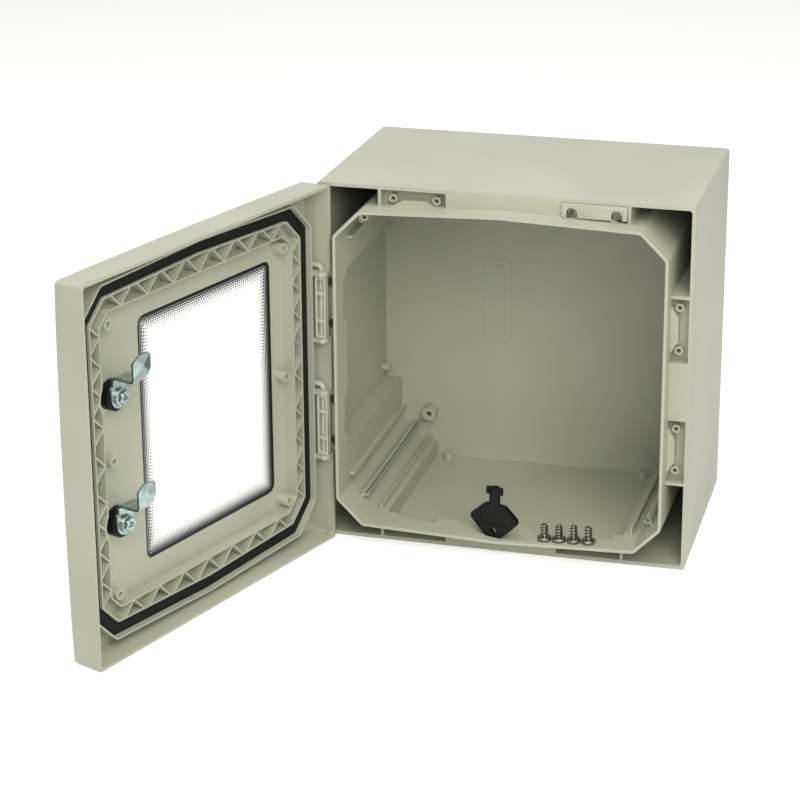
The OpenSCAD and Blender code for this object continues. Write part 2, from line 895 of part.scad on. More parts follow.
// Walls and webs of the truss, with the inner wall stepping round the locks.
module truss() {
    before_rim(truss_top, rib_root)
        union() {
            octagon_ring(truss_inset, truss_chamfer, truss_t, 4);
            difference() {
                union() {
                    octagon_ring(truss_inset + truss_band,
                                 inner_chamfer(truss_chamfer, truss_band), truss_t, 3, 0);
                    intersection() {
                        truss_webs();
                        octagon_plate(truss_inset + truss_t / 2, truss_chamfer, 4);
                    }
                }
                for (along = [-1, 1])
                    translate([lock_x, along * lock_z])
                        circle(r = dent_r + truss_t / 2);
            }
            intersection() {
                for (along = [-1, 1])
                    translate([lock_x, along * lock_z])
                        difference() {
                            circle(r = dent_r + truss_t);
                            circle(r = dent_r);
                        }
                translate([half_w - truss_inset - truss_band - truss_t, -half_h])
                    square([truss_band + truss_t, 2 * half_h]);
            }
        }
}

// Ear outline round the hinge axis, running forward to the front panel.
module ear_outline() {
    circle(r = ear_r);
    translate([-ear_r, -(rib_root - hinge_front)])
        square([2 * ear_r, rib_root - hinge_front]);
}

module hinge_ears() {
    intersection() {
        for (along = [-1, 1], end = [-1, 1])
            translate([hinge_x, hinge_y, along * side_pocket_z
                       + (end > 0 ? ear_z : -ear_z - ear_t)])
                linear_extrude(ear_t)
                    ear_outline();
        drafted_door(0, 0, rib_root);
        before_rim(door_gap, rib_root)
            translate([-half_w, -half_h])
                square([seal_wall_inset + sink, 2 * half_h]);
    }
}

// Nubs on the gasket wall, over the pin's arm and under its tail.
module pin_nubs() {
    nub = 2;
    nub_l = 6;
    face_x = -half_w + seal_wall_inset;
    for (along = [-1, 1])
        translate([face_x - nub, -body_d - seal_wall_top - nub_l - 1,
                   along * side_pocket_z + arm_z + pin_r + block_gap])
            cube([nub + sink, nub_l, nub]);
}

module hinge_notches() {
    notch_h = 2 * ear_z;
    notch_w = door_t + 2;
    for (along = [-1, 1])
        translate([-half_w - over, -body_d - notch_d, along * side_pocket_z - notch_h / 2])
            cube([notch_w + over, notch_d, notch_h]);
}

module panel_bosses() {
    for (x = [-1, 1], z = [-1, 0, 1])
        rod(x * (half_w - panel_boss_inset), z * (half_h - panel_boss_inset),
            panel_boss_d / 2, -rib_root, -panel_boss_top);
}

module window_plate(grow) {
    translate([-window_shift, 0])
        round_plate(window_w / 2 + grow, window_h / 2 + grow, window_r + grow / 2);
}

// The outer skin of the door with the flat panel inside its truss.
module door_shell() {
    skin = front_mid + over;
    panel_inset = truss_inset + truss_band + truss_t / 2;
    difference() {
        intersection() {
            drafted_door(0, door_gap, skin);
            dome(front_mid);
        }
        difference() {
            intersection() {
                drafted_door(-door_t, door_gap - over, skin);
                dome(front_mid - panel_t);
            }
            before_rim(lip_back, skin)
                octagon_plate(panel_inset, inner_chamfer(truss_chamfer, panel_inset - truss_inset),
                              3, 0);
            before_rim(nut_seat, skin)
                for (along = [-1, 1])
                    translate([lock_x, along * lock_z])
                        circle(r = dent_r + sink);
        }
    }
}

module door_cuts() {
    skin = front_mid + over;
    before_rim(lip_back - over, skin)
        window_plate(0);
    before_rim(seal_back, skin)
        window_plate(pane_lap);
    before_rim(nut_seat - over, skin)
        for (along = [-1, 1])
            translate([lock_x, along * lock_z])
                circle(d = barrel_d + 2 * spindle_play);
    before_rim(lock_seat, skin)
        for (along = [-1, 1])
            translate([lock_x, along * lock_z])
                circle(d = lock_flange_d + 2 * block_gap);
    for (x = [-1, 1], z = [-1, 0, 1])
        rod(x * (half_w - panel_boss_inset), z * (half_h - panel_boss_inset),
            panel_boss_hole_d / 2, -channel_floor, -panel_boss_top + over);
}

// Wall outside the gasket and the floor that the gasket lies on.
module seal_channel() {
    before_rim(seal_wall_top, rib_root)
        octagon_ring(seal_wall_inset, seal_wall_chamfer, seal_wall_t, 6);
    before_rim(channel_floor, rib_root)
        difference() {
            octagon_plate(seal_wall_inset, seal_wall_chamfer, 6);
            octagon_plate(truss_inset + truss_t / 2,
                          inner_chamfer(truss_chamfer, truss_t / 2), 4);
        }
}

module door_frame() {
    color(body_grey)
        on_door()
            difference() {
                union() {
                    difference() {
                        door_shell();
                        hinge_notches();
                    }
                    intersection() {
                        union() {
                            seal_channel();
                            truss();
                            panel_bosses();
                            hinge_ears();
                            pin_nubs();
                        }
                        dome(front_mid - panel_t + sink);
                    }
                }
                door_cuts();
                translate([hinge_x, hinge_y, -half_h])
                    cylinder(r = pin_r + pin_play, h = encl_h);
            }
}

module door_gasket() {
    inner_c = inner_chamfer(seal_wall_chamfer, seal_wall_t);
    color(rubber_black)
        on_door()
            before_rim(gasket_top, channel_floor)
                difference() {
                    octagon_plate(seal_wall_inset + seal_wall_t, inner_c, 6 - seal_wall_t / 2);
                    octagon_plate(truss_inset, truss_chamfer, 4);
                }
}

module window_pane() {
    color("#dfe6e6")
        on_door()
            before_rim(pane_back, pane_front)
                window_plate(pane_lap - block_gap);
}

module window_seal() {
    color(rubber_black)
        on_door()
            before_rim(seal_back, pane_back)
                difference() {
                    window_plate(pane_lap - block_gap);
                    window_plate(pane_lap - block_gap - pane_seal_w);
                }
}

// L-shaped pin: straight through both ears, its arm lying along the gasket wall.
module hinge_pin(along) {
    low = -ear_z - ear_t - pin_tail;
    color(body_grey)
        on_door()
            translate([hinge_x, hinge_y, along * side_pocket_z]) {
                translate([0, 0, low])
                    cylinder(r = pin_r, h = arm_z - pin_bend - low);
                rotate([0, 0, pin_lean]) {
                    translate([0, -pin_bend, arm_z - pin_bend])
                        rotate([90, 0, 90])
                            rotate_extrude(angle = 90)
                                translate([pin_bend, 0])
                                    circle(r = pin_r);
                    translate([0, -pin_bend, arm_z])
                        rotate([90, 0, 0])
                            cylinder(r = pin_r, h = pin_arm);
                }
            }
}

module hinge_block_upper() {
    in_side_pocket(-1, 1)
        hinge_block();
}

module hinge_block_lower() {
    in_side_pocket(-1, -1)
        hinge_block();
}

module hinge_pin_upper() {
    hinge_pin(1);
}

module hinge_pin_lower() {
    hinge_pin(-1);
}

// ---- locks --------------------------------------------------------------------------

// Puts one lock's parts on the door: x and z about the lock axis, y from the rim.
module at_lock(along) {
    on_door()
        translate([lock_x, 0, along * lock_z])
            children();
}

module key_socket(grow) {
    circle(d = shank_d + grow);
    square([bit_w + grow, bit_t + grow], center = true);
}

module lock_body(along) {
    color(rubber_black)
        at_lock(along)
            difference() {
                union() {
                    rod(0, 0, barrel_d / 2, -lock_front + sink, -barrel_end);
                    rod(0, 0, lock_flange_d / 2, -lock_front, -lock_seat - lock_seal_t);
                }
                rod(0, 0, spindle_r + spindle_play, -lock_front, -barrel_end + over);
                rod(0, 0, spindle_head_r + spindle_play, -lock_front - over,
                    -head_back + cam_gap);
            }
}

module lock_seal(along) {
    color("#2a2a29")
        at_lock(along)
            before_rim(lock_seat, lock_seat + lock_seal_t)
                difference() {
                    circle(d = lock_flange_d - 1);
                    circle(d = barrel_d);
                }
}

module lock_nut(along) {
    color(body_grey)
        at_lock(along)
            before_rim(nut_seat - nut_t, nut_seat)
                difference() {
                    circle(r = nut_af / sqrt(3), $fn = 6);
                    circle(d = barrel_d);
                }
}

module lock_spindle(along) {
    socket_deep = spindle_head_h - 2;
    pin_gap = 0.3;
    color("#6f7270")
        at_lock(along)
            difference() {
                union() {
                    difference() {
                        rod(0, 0, spindle_head_r, -head_front, -head_back);
                        before_rim(head_front - socket_deep, head_front + over)
                            key_socket(2 * pin_gap);
                    }
                    rod(0, 0, key_bore_d / 2 - pin_gap, -head_front, -head_back);
                    rod(0, 0, spindle_r, -head_back - sink, -barrel_end);
                    before_rim(cam_face, barrel_end + sink)
                        square(square_s, center = true);
                }
                rod(0, 0, cam_bolt_r, -barrel_end - 5, -cam_face + over);
            }
}

// Cranked cam: foot on the spindle, web across, tongue that goes behind the catch.
module lock_cam(along) {
    foot_top = cam_web + cam_t;
    tip_cut = 5;
    spy_hole_d = 3;
    color(zinc)
        at_lock(along)
            difference() {
                union() {
                    before_rim(cam_face, cam_base)
                        union() {
                            circle(r = cam_half);
                            translate([-cam_half, 0])
                                square([2 * cam_half, foot_top]);
                        }
                    before_rim(-tongue_y - cam_t, cam_base)
                        translate([-cam_half, cam_web])
                            square([cam_half + tongue_out, cam_t]);
                    behind_rim(tongue_y, tongue_y + cam_t)
                        polygon([[-tongue_in, cam_web], [tongue_out, cam_web],
                            [tongue_out, tongue_reach - tip_cut],
                            [tongue_out - tip_cut * 0.6, tongue_reach - tip_cut * 0.3],
                            [-tongue_in / 2 + 1, tongue_reach],
                            [-tongue_in + tip_cut * 0.7, tongue_reach - 1],
                            [-tongue_in, tongue_reach - tip_cut * 0.8]]);
                }
                before_rim(cam_face - over, cam_base + over)
                    square(square_s, center = true);
                rod(1.5, cam_half - 0.5, spy_hole_d / 2 - 0.4, -cam_base - over,
                    -cam_face + over);
            }
}

module cam_washer(along) {
    color(steel)
        at_lock(along)
            before_rim(cam_face - washer_t, cam_face)
                difference() {
                    circle(d = washer_d);
                    circle(r = cam_bolt_r + 2 * spindle_play);
                }
}

module cam_bolt(along) {
    shank = 6;
    under = cam_face - washer_t;
    slot_w = 1.2;
    slot_l = cam_bolt_af * 0.55;
    color(steel)
        at_lock(along)
            difference() {
                union() {
                    before_rim(under - cam_bolt_h, under)
                        circle(r = cam_bolt_af / sqrt(3), $fn = 6);
                    rod(0, 0, cam_bolt_r - spindle_play, -under - shank, -under + sink);
                }
                before_rim(under - cam_bolt_h - over, under - cam_bolt_h + 2)
                    for (turn = [0, 90])
                        rotate(turn)
                            square([slot_l, slot_w], center = true);
            }
}

module lock_body_upper() {
    lock_body(1);
}

module lock_body_lower() {
    lock_body(-1);
}

module lock_seal_upper() {
    lock_seal(1);
}

module lock_seal_lower() {
    lock_seal(-1);
}

module lock_nut_upper() {
    lock_nut(1);
}

module lock_nut_lower() {
    lock_nut(-1);
}

module lock_spindle_upper() {
    lock_spindle(1);
}

module lock_spindle_lower() {
    lock_spindle(-1);
}

module lock_cam_upper() {
    lock_cam(1);
}

module lock_cam_lower() {
    lock_cam(-1);
}

module cam_washer_upper() {
    cam_washer(1);
}

module cam_washer_lower() {
    cam_washer(-1);
}

module cam_bolt_upper() {
    cam_bolt(1);
}

module cam_bolt_lower() {
    cam_bolt(-1);
}

// ---- loose pieces that stand on the collar -----------------------------------------

// Height of the collar's lower run, which falls towards mid width, at x to one side.
function collar_floor(x) = -collar_z + collar_t - seal_rise * (1 - x / collar_run);

module key() {
    waist = bow_h * 0.56;
    base_half = bow_w * 0.17;
    top_half = bow_w * 0.23;
    label_w = bow_w * 0.58;
    label_h = bow_h * 0.3;
    label_deep = 1;
    eye_r = 2.6;
    eye_z = 5.6;
    bore_deep = shank_l - 2;
    color(rubber_black)
        translate([key_x, stand_y, collar_floor(abs(key_x) + base_half)])
            rotate([0, 0, key_turn]) {
                difference() {
                    translate([0, bow_t / 2, 0])
                        rotate([90, 0, 0])
                            linear_extrude(bow_t)
                                polygon(rounded([[-base_half, 0], [base_half, 0],
                                    [bow_w / 2 + 3.2, waist], [top_half, bow_h],
                                    [-top_half, bow_h], [-bow_w / 2 - 3.2, waist]], 4.5));
                    for (face = [0, 180])
                        rotate([0, 0, face])
                            translate([-label_w / 2, -bow_t / 2 - over, bow_h * 0.4])
                                cube([label_w, label_deep + over, label_h]);
                    translate([0, bow_t, eye_z])
                        rotate([90, 0, 0])
                            cylinder(r = eye_r, h = 2 * bow_t);
                }
                difference() {
                    union() {
                        translate([0, 0, bow_h - 2])
                            cylinder(d = shank_d, h = shank_l + 2);
                        translate([-bit_w / 2, -bit_t / 2, bow_h + shank_l - bit_h])
                            cube([bit_w, bit_t, bit_h]);
                    }
                    translate([0, 0, bow_h + shank_l - bore_deep])
                        cylinder(d = key_bore_d, h = bore_deep + over);
                }
            }
}

// Coarse-threaded pan-head screw standing on its head.
module plate_screw() {
    turns = 5;
    pitch = screw_l / (turns + 1);
    core = screw_core_d / 2;
    crest = core + 1.1;
    recess_l = screw_head_d * 0.5;
    recess_w = 1.4;
    thread = [for (i = [0:turns - 1], p = [[core, 0], [crest, 0.42], [crest, 0.5], [core, 0.92]])
        [p[0], screw_head_h + (i + 0.4 + p[1]) * pitch]];
    difference() {
        rotate_extrude()
            polygon(concat([[0, 0], [screw_head_d * 0.3, 0], [screw_head_d * 0.44, 0.9],
                [screw_head_d / 2, screw_head_h - 0.6], [screw_head_d / 2, screw_head_h],
                [core, screw_head_h]], thread,
                [[core, screw_head_h + screw_l - 1], [core * 0.7, screw_head_h + screw_l],
                [0, screw_head_h + screw_l]]));
        for (turn = [45, 135])
            rotate(turn)
                translate([-recess_l / 2, -recess_w / 2, -over])
                    cube([recess_l, recess_w, 1.8 + over]);
    }
}

module plate_screws() {
    rest_gap = 0.05;
    color(steel)
        for (i = [0:plate_screws_n - 1]) {
            x = screw_x0 + i * screw_pitch;
            translate([x, stand_y, collar_floor(x) + rest_gap])
                rotate([0, -floor_slope, 0])
                    rotate([0, 0, i * 25])
                        plate_screw();
        }
}

base_housing();
hinge_block_upper();
hinge_block_lower();
hinge_block_screws();
pocket_insert();
pocket_insert_screws();
door_frame();
door_gasket();
window_pane();
window_seal();
hinge_pin_upper();
hinge_pin_lower();
lock_body_upper();
lock_seal_upper();
lock_nut_upper();
lock_spindle_upper();
lock_cam_upper();
cam_washer_upper();
cam_bolt_upper();
lock_body_lower();
lock_seal_lower();
lock_nut_lower();
lock_spindle_lower();
lock_cam_lower();
cam_washer_lower();
cam_bolt_lower();
key();
plate_screws();
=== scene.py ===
"""Looks of an open cabinet moulded in polycarbonate, with a window door, two locks, a key and four screws.

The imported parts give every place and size. Each class below is one sub-assembly or one finish: its fields
are sizes in millimetres, and its methods build the meshes and dress them. A shape on the door is worked out
in the door's shut place, as (across, depth in front of the rim, height), and then swung about the hinge.
"""
import json
import logging
import math
from dataclasses import dataclass
from enum import Enum
from typing import Any

import bmesh
import bpy
import numpy as np
from mathutils import Matrix, Vector

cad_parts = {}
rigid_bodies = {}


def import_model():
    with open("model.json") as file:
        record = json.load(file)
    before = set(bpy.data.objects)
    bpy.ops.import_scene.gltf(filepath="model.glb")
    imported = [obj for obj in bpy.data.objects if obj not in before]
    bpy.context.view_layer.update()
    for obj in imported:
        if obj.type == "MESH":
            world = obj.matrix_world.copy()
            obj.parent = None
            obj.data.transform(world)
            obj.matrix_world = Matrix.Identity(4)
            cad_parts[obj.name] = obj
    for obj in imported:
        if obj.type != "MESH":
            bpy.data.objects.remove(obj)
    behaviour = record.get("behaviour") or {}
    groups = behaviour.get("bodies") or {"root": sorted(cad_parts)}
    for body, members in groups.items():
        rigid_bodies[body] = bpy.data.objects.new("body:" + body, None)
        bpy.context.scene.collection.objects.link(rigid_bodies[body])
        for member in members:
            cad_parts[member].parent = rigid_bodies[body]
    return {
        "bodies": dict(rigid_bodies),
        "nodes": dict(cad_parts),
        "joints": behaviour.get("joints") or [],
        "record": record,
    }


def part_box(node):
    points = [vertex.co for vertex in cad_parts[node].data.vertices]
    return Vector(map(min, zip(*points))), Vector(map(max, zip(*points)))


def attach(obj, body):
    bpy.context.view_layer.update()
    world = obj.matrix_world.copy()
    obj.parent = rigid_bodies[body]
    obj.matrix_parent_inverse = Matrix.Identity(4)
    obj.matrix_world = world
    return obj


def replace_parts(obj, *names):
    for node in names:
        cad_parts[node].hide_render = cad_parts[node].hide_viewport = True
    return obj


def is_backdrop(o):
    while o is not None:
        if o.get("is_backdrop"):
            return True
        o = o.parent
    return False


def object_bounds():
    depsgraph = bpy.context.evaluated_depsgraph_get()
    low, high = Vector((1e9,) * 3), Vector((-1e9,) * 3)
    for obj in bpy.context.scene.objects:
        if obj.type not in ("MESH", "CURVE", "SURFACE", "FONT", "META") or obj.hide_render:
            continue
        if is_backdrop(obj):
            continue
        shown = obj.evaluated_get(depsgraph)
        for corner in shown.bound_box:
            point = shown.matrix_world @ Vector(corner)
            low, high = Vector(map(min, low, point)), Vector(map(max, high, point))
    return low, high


LOG = logging.getLogger("cabinet")
MM = 0.001
FULL = 2 * math.pi
Array = np.ndarray
Triple = tuple[float, float, float]

# points of one mesh that are nearer than this are the same point, in metres: at a pole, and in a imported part
POLE_GAP, PACKED_GAP = 1e-7, 2e-6
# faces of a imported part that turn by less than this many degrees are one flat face
FLAT_TURN = 0.6
# most values of a noise texture lie between these two
NOISE_LOW, NOISE_HIGH = 0.3, 0.7
# a two-tone blend starts here and ends a little further on
TONE_LOW, TONE_HIGH = 0.35, 0.65


def srgb(code: str, alpha: float = 1.0) -> tuple[float, float, float, float]:
    """Turns an sRGB hex colour into the linear colour that a shader takes.

    Args:
        code: the colour as "#rrggbb".
        alpha: the fourth value.

    Returns:
        Linear red, green, blue and alpha.
    """
    parts = np.array([int(code[i : i + 2], 16) / 255 for i in (1, 3, 5)])
    linear = np.where(parts <= 0.04045, parts / 12.92, ((parts + 0.055) / 1.055) ** 2.4)
    return (*(float(v) for v in linear), alpha)


def add(
    tree: bpy.types.NodeTree, kind: str, inputs: dict[Any, Any] | None = None, **settings: Any
) -> bpy.types.Node:
    """Adds one node with its settings, its constants and its links.

    Args:
        tree: the material's or world's nodes.
        kind: the node's type name without "ShaderNode".
        inputs: for each input's name or number, a constant or the socket that feeds it.
        settings: the node's own properties.

    Returns:
        The new node.
    """
    node = tree.nodes.new("ShaderNode" + kind)
    for key, value in settings.items():
        setattr(node, key, value)
    for key, value in (inputs or {}).items():
        if isinstance(value, bpy.types.NodeSocket):
            tree.links.new(value, node.inputs[key])
        else:
            node.inputs[key].default_value = value
    return node


def bare_material(name: str) -> bpy.types.Material:
    """Makes a material that has no nodes yet."""
    mat = bpy.data.materials.new(name)
    mat.use_nodes = True
    mat.node_tree.nodes.clear()
    return mat


class Slot(Enum):
    """The record's names for the finishes."""

    HOUSING = "housing_grey"
    DOOR = "door_grey"
    SMALL = "small_part_grey"
    RUBBER = "black_rubber"
    BLACK = "black_plastic"
    PANE = "clear_pane"
    ZINC = "zinc_plate"
    STEEL = "screw_steel"
    CAST = "die_cast"


@dataclass(frozen=True)
class MouldedPlastic:
    """A moulded thermoplastic with the fine skin that a spark-eroded mould gives.

    The skin scatters the light into a soft satin, and thick and thin walls cool at different rates, which
    leaves the colour a little uneven from one hand's breadth to the next.
    """

    name: str
    colour: str
    deep: str
    roughness: float
    grain: float = 0.9
    relief: float = 0.02
    patch: float = 90.0
    edge: float = 0.45
    specular: float = 0.4
    swing: float = 0.05
    ior: float = 1.58

    def material(self) -> bpy.types.Material:
        """Builds the material: patchy colour, fine skin and rounded arrises."""
        mat = bare_material(self.name)
        tree = mat.node_tree
        place = add(tree, "TexCoord").outputs["Object"]
        # the colour drifts over about `patch` millimetres
        drift = add(tree, "TexNoise", {
            "Vector": place, "Scale": 1 / (self.patch * MM), "Detail": 2.0, "Roughness": 0.45,
        })
        shade = add(tree, "ValToRGB", {"Fac": drift.outputs["Fac"]})
        dark, light = shade.color_ramp.elements
        dark.position, dark.color = TONE_LOW, srgb(self.deep)
        light.position, light.color = TONE_HIGH, srgb(self.colour)
        # the real grain is about 0.1 mm; it is drawn coarser so that it shows at all
        skin = add(tree, "TexNoise", {
            "Vector": place, "Scale": 1 / (self.grain * MM), "Detail": 3.0, "Roughness": 0.6,
        })
        gloss = add(tree, "MapRange", {
            "Value": skin.outputs["Fac"], "From Min": NOISE_LOW, "From Max": NOISE_HIGH,
            "To Min": self.roughness - self.swing, "To Max": self.roughness + self.swing,
        })
        rounded = add(tree, "Bevel", {"Radius": self.edge * MM}, samples=4)
        bump = add(tree, "Bump", {
            "Height": skin.outputs["Fac"], "Distance": self.relief * MM, "Strength": 0.6,
            "Normal": rounded.outputs[0],
        })
        body = add(tree, "BsdfPrincipled", {
            "Base Color": shade.outputs["Color"], "Roughness": gloss.outputs[0], "IOR": self.ior,
            "Specular IOR Level": self.specular, "Normal": bump.outputs[0],
        })
        add(tree, "OutputMaterial", {"Surface": body.outputs[0]})
        return mat


@dataclass(frozen=True)
class PlatedMetal:
    """A plated, cast or rolled metal, whose cloudy tone and slight orange peel spread its highlights."""

    name: str
    colour: str
    tint: str
    roughness: float
    cloud: float = 5.0
    grain: float = 0.6
    relief: float = 0.01
    edge: float = 0.2
    duller: float = 0.07
    brighter: float = 0.05
    tone_high: float = 0.62

    def material(self) -> bpy.types.Material:
        """Builds the material: two tones in clouds, uneven gloss and a slight orange peel."""
        mat = bare_material(self.name)
        tree = mat.node_tree
        place = add(tree, "TexCoord").outputs["Object"]
        clouds = add(tree, "TexNoise", {
            "Vector": place, "Scale": 1 / (self.cloud * MM), "Detail": 4.0, "Roughness": 0.6,
            "Distortion": 0.4,
        })
        tone = add(tree, "ValToRGB", {"Fac": clouds.outputs["Fac"]})
        dark, light = tone.color_ramp.elements
        dark.position, dark.color = TONE_LOW, srgb(self.tint)
        light.position, light.color = self.tone_high, srgb(self.colour)
        peel = add(tree, "TexNoise", {
            "Vector": place, "Scale": 1 / (self.grain * MM), "Detail": 2.0, "Roughness": 0.5,
        })
        gloss = add(tree, "MapRange", {
            "Value": clouds.outputs["Fac"], "From Min": NOISE_LOW, "From Max": NOISE_HIGH,
            "To Min": self.roughness + self.duller, "To Max": self.roughness - self.brighter,
        })
        rounded = add(tree, "Bevel", {"Radius": self.edge * MM}, samples=4)
        bump = add(tree, "Bump", {
            "Height": peel.outputs["Fac"], "Distance": self.relief * MM, "Strength": 0.5,
            "Normal": rounded.outputs[0],
        })
        body = add(tree, "BsdfPrincipled", {
            "Base Color": tone.outputs["Color"], "Metallic": 1.0, "Roughness": gloss.outputs[0],
            "Normal": bump.outputs[0],
        })
        add(tree, "OutputMaterial", {"Surface": body.outputs[0]})
        return mat


@dataclass(frozen=True)
class FoamSeal:
    """A poured polyurethane foam seal: near black and dull, with tiny open cells in its skin."""

    name: str
    colour: str
    deep: str
    cell: float = 1.1
    relief: float = 0.12
    pit: float = 0.1
    skin: float = 0.7

    def material(self) -> bpy.types.Material:
        """Builds the material: cells as pits and a dull sheen.

        The deep colour is painted shade in the pits of the cells. It reaches out to the share `pit` of a cell,
        and the plain one starts at the share `skin`.
        """
        mat = bare_material(self.name)
        tree = mat.node_tree
        place = add(tree, "TexCoord").outputs["Object"]
        cells = add(tree, "TexVoronoi", {"Vector": place, "Scale": 1 / (self.cell * MM)}, feature="F1")
        # painted shade: the deep colour darkens the cells' pits, where the bump below sinks the skin
        tone = add(tree, "ValToRGB", {"Fac": cells.outputs["Distance"]})
        dark, light = tone.color_ramp.elements
        dark.position, dark.color = self.pit, srgb(self.deep)
        light.position, light.color = self.skin, srgb(self.colour)
        bump = add(tree, "Bump", {
            "Height": cells.outputs["Distance"], "Distance": self.relief * MM, "Strength": 0.5,
        })
        body = add(tree, "BsdfPrincipled", {
            "Base Color": tone.outputs["Color"], "Roughness": 0.7, "IOR": 1.5, "Specular IOR Level": 0.2,
            "Normal": bump.outputs[0],
        })
        add(tree, "OutputMaterial", {"Surface": body.outputs[0]})
        return mat


@dataclass(frozen=True)
class ClearSheet:
    """Clear extruded polycarbonate sheet: almost all light goes through, and the rest is a sharp gloss."""

    name: str
    colour: str = "#fbfdfd"
    cover: float = 0.06
    wave: float = 40.0
    relief: float = 0.02

    def material(self) -> bpy.types.Material:
        """Builds the material: mostly see-through, glossy and very faintly wavy, as an extruded sheet is."""
        mat = bare_material(self.name)
        tree = mat.node_tree
        place = add(tree, "TexCoord").outputs["Object"]
        wave = add(tree, "TexNoise", {"Vector": place, "Scale": 1 / (self.wave * MM), "Detail": 1.0})
        bump = add(tree, "Bump", {
            "Height": wave.outputs["Fac"], "Distance": self.relief * MM, "Strength": 0.4,
        })
        body = add(tree, "BsdfPrincipled", {
            "Base Color": srgb(self.colour), "Roughness": 0.06, "IOR": 1.585, "Specular IOR Level": 0.5,
            "Alpha": self.cover, "Normal": bump.outputs[0],
        })
        add(tree, "OutputMaterial", {"Surface": body.outputs[0]})
        return mat


@dataclass(frozen=True)
class ScreenPrint:
    """Black screen ink on the pane's edge: solid at the rim, then rows of staggered dots that shrink inwards.

    The real rows are under two millimetres apart; they are drawn a little coarser so that they can be told
    apart. `solid` is the share of the border that is inked all over, and dots' radii are shares of a cell.
    """

    name: str
    ink: str = "#0d0d10"
    row: float = 1.9
    dot: float = 2.7
    solid: float = 0.2
    largest: float = 0.6
    smallest: float = 0.16
    blur: float = 0.05
    fade: float = 0.02

    def material(self) -> bpy.types.Material:
        """Builds the material.

        A place is inked where its distance from its cell's middle is under a radius that falls with the
        attribute "inward", and every second row of cells is set off by half a cell.
        """
        mat = bare_material(self.name)
        tree = mat.node_tree
        plan = add(tree, "UVMap", uv_map="print").outputs[0]
        inward = add(tree, "Attribute", attribute_name="inward", attribute_type="GEOMETRY").outputs["Fac"]
        scale = (1 / (self.dot * MM), 1 / (self.row * MM), 0.0)
        cells = add(tree, "VectorMath", {0: plan, 1: scale}, operation="MULTIPLY")
        split = add(tree, "SeparateXYZ", {0: cells.outputs[0]})
        row = add(tree, "Math", {0: split.outputs["Y"]}, operation="FLOOR")
        odd = add(tree, "Math", {0: row.outputs[0], 1: 2.0}, operation="FLOORED_MODULO")
        half_off = {0: odd.outputs[0], 1: 0.5, 2: split.outputs["X"]}
        shift = add(tree, "Math", half_off, operation="MULTIPLY_ADD")
        along = add(tree, "Math", {0: shift.outputs[0]}, operation="FRACT")
        across = add(tree, "Math", {0: split.outputs["Y"]}, operation="FRACT")
        spot = add(tree, "CombineXYZ", {0: along.outputs[0], 1: across.outputs[0]})
        far = add(tree, "VectorMath", {0: spot.outputs[0], 1: (0.5, 0.5, 0.0)}, operation="DISTANCE")
        radius = add(tree, "MapRange", {
            "Value": inward, "From Min": self.solid, "From Max": 1.0,
            "To Min": self.largest, "To Max": self.smallest,
        })
        gap = add(tree, "Math", {0: radius.outputs[0], 1: far.outputs["Value"]}, operation="SUBTRACT")
        dots = add(tree, "MapRange", {"Value": gap.outputs[0], "From Min": -self.blur, "From Max": self.blur})
        rim = add(tree, "MapRange", {
            "Value": inward, "From Min": self.solid, "From Max": self.solid + self.fade,
            "To Min": 1.0, "To Max": 0.0,
        })
        cover = add(tree, "Math", {0: dots.outputs[0], 1: rim.outputs[0]}, operation="MAXIMUM")
        body = add(tree, "BsdfPrincipled", {
            "Base Color": srgb(self.ink), "Roughness": 0.35, "IOR": 1.5, "Alpha": cover.outputs[0],
        })
        add(tree, "OutputMaterial", {"Surface": body.outputs[0]})
        return mat


@dataclass(frozen=True)
class Finishes:
    """Every finish of the cabinet, made once."""

    made: dict[Slot, bpy.types.Material]
    ink: bpy.types.Material

    @classmethod
    def make(cls) -> "Finishes":
        """Makes the materials."""
        recipes = {
            Slot.HOUSING: MouldedPlastic("housing_moulded_polycarbonate", "#b8baaa", "#b1b3a3", 0.46),
            Slot.DOOR: MouldedPlastic("door_moulded_polycarbonate", "#b9bbab", "#b2b4a4", 0.46),
            Slot.SMALL: MouldedPlastic(
                "clip_moulded_polyamide", "#bcbeb0", "#b3b5a7", 0.42, grain=0.7, patch=30.0, edge=0.3,
            ),
            Slot.BLACK: MouldedPlastic(
                "black_moulded_polyamide", "#0d0d0c", "#080807", 0.5,
                grain=0.7, relief=0.03, patch=20.0, edge=0.3, specular=0.16,
            ),
            Slot.RUBBER: FoamSeal("foamed_polyurethane_seal", "#161611", "#0b0b08"),
            Slot.PANE: ClearSheet("clear_polycarbonate_sheet"),
            Slot.ZINC: PlatedMetal("bright_zinc_plated_steel", "#b9c9c8", "#98a9a7", 0.3),
            Slot.STEEL: PlatedMetal(
                "bright_stainless_steel", "#99978e", "#6f6c64", 0.24, cloud=3.0, grain=0.4,
            ),
            Slot.CAST: PlatedMetal("die_cast_zinc", "#5e605f", "#474948", 0.45, cloud=2.0, relief=0.03),
        }
        made = {slot: recipe.material() for slot, recipe in recipes.items()}
        return cls(made, ScreenPrint("window_screen_ink").material())

    def dress(self, piece: bpy.types.Object, slot: Slot) -> bpy.types.Object:
        """Gives a piece one finish, the material made for the given slot.

        Args:
            piece: the object to dress.
            slot: the finish.

        Returns:
            The piece.
        """
        piece.data.materials.clear()
        piece.data.materials.append(self.made[slot])
        return piece


def mesh_piece(name: str, points: Array, faces: Array) -> bpy.types.Object:
    """Puts points and faces of equal size into a new mesh object at the origin.

    Args:
        name: the piece's name.
        points: corner points in metres, shape (n, 3).
        faces: corner numbers, shape (m, 4).

    Returns:
        The new object.
    """
    mesh = bpy.data.meshes.new(name)
    mesh.from_pydata(points.tolist(), [], faces.tolist())
    mesh.update()
    piece = bpy.data.objects.new(name, mesh)
    bpy.context.scene.collection.objects.link(piece)
    return piece


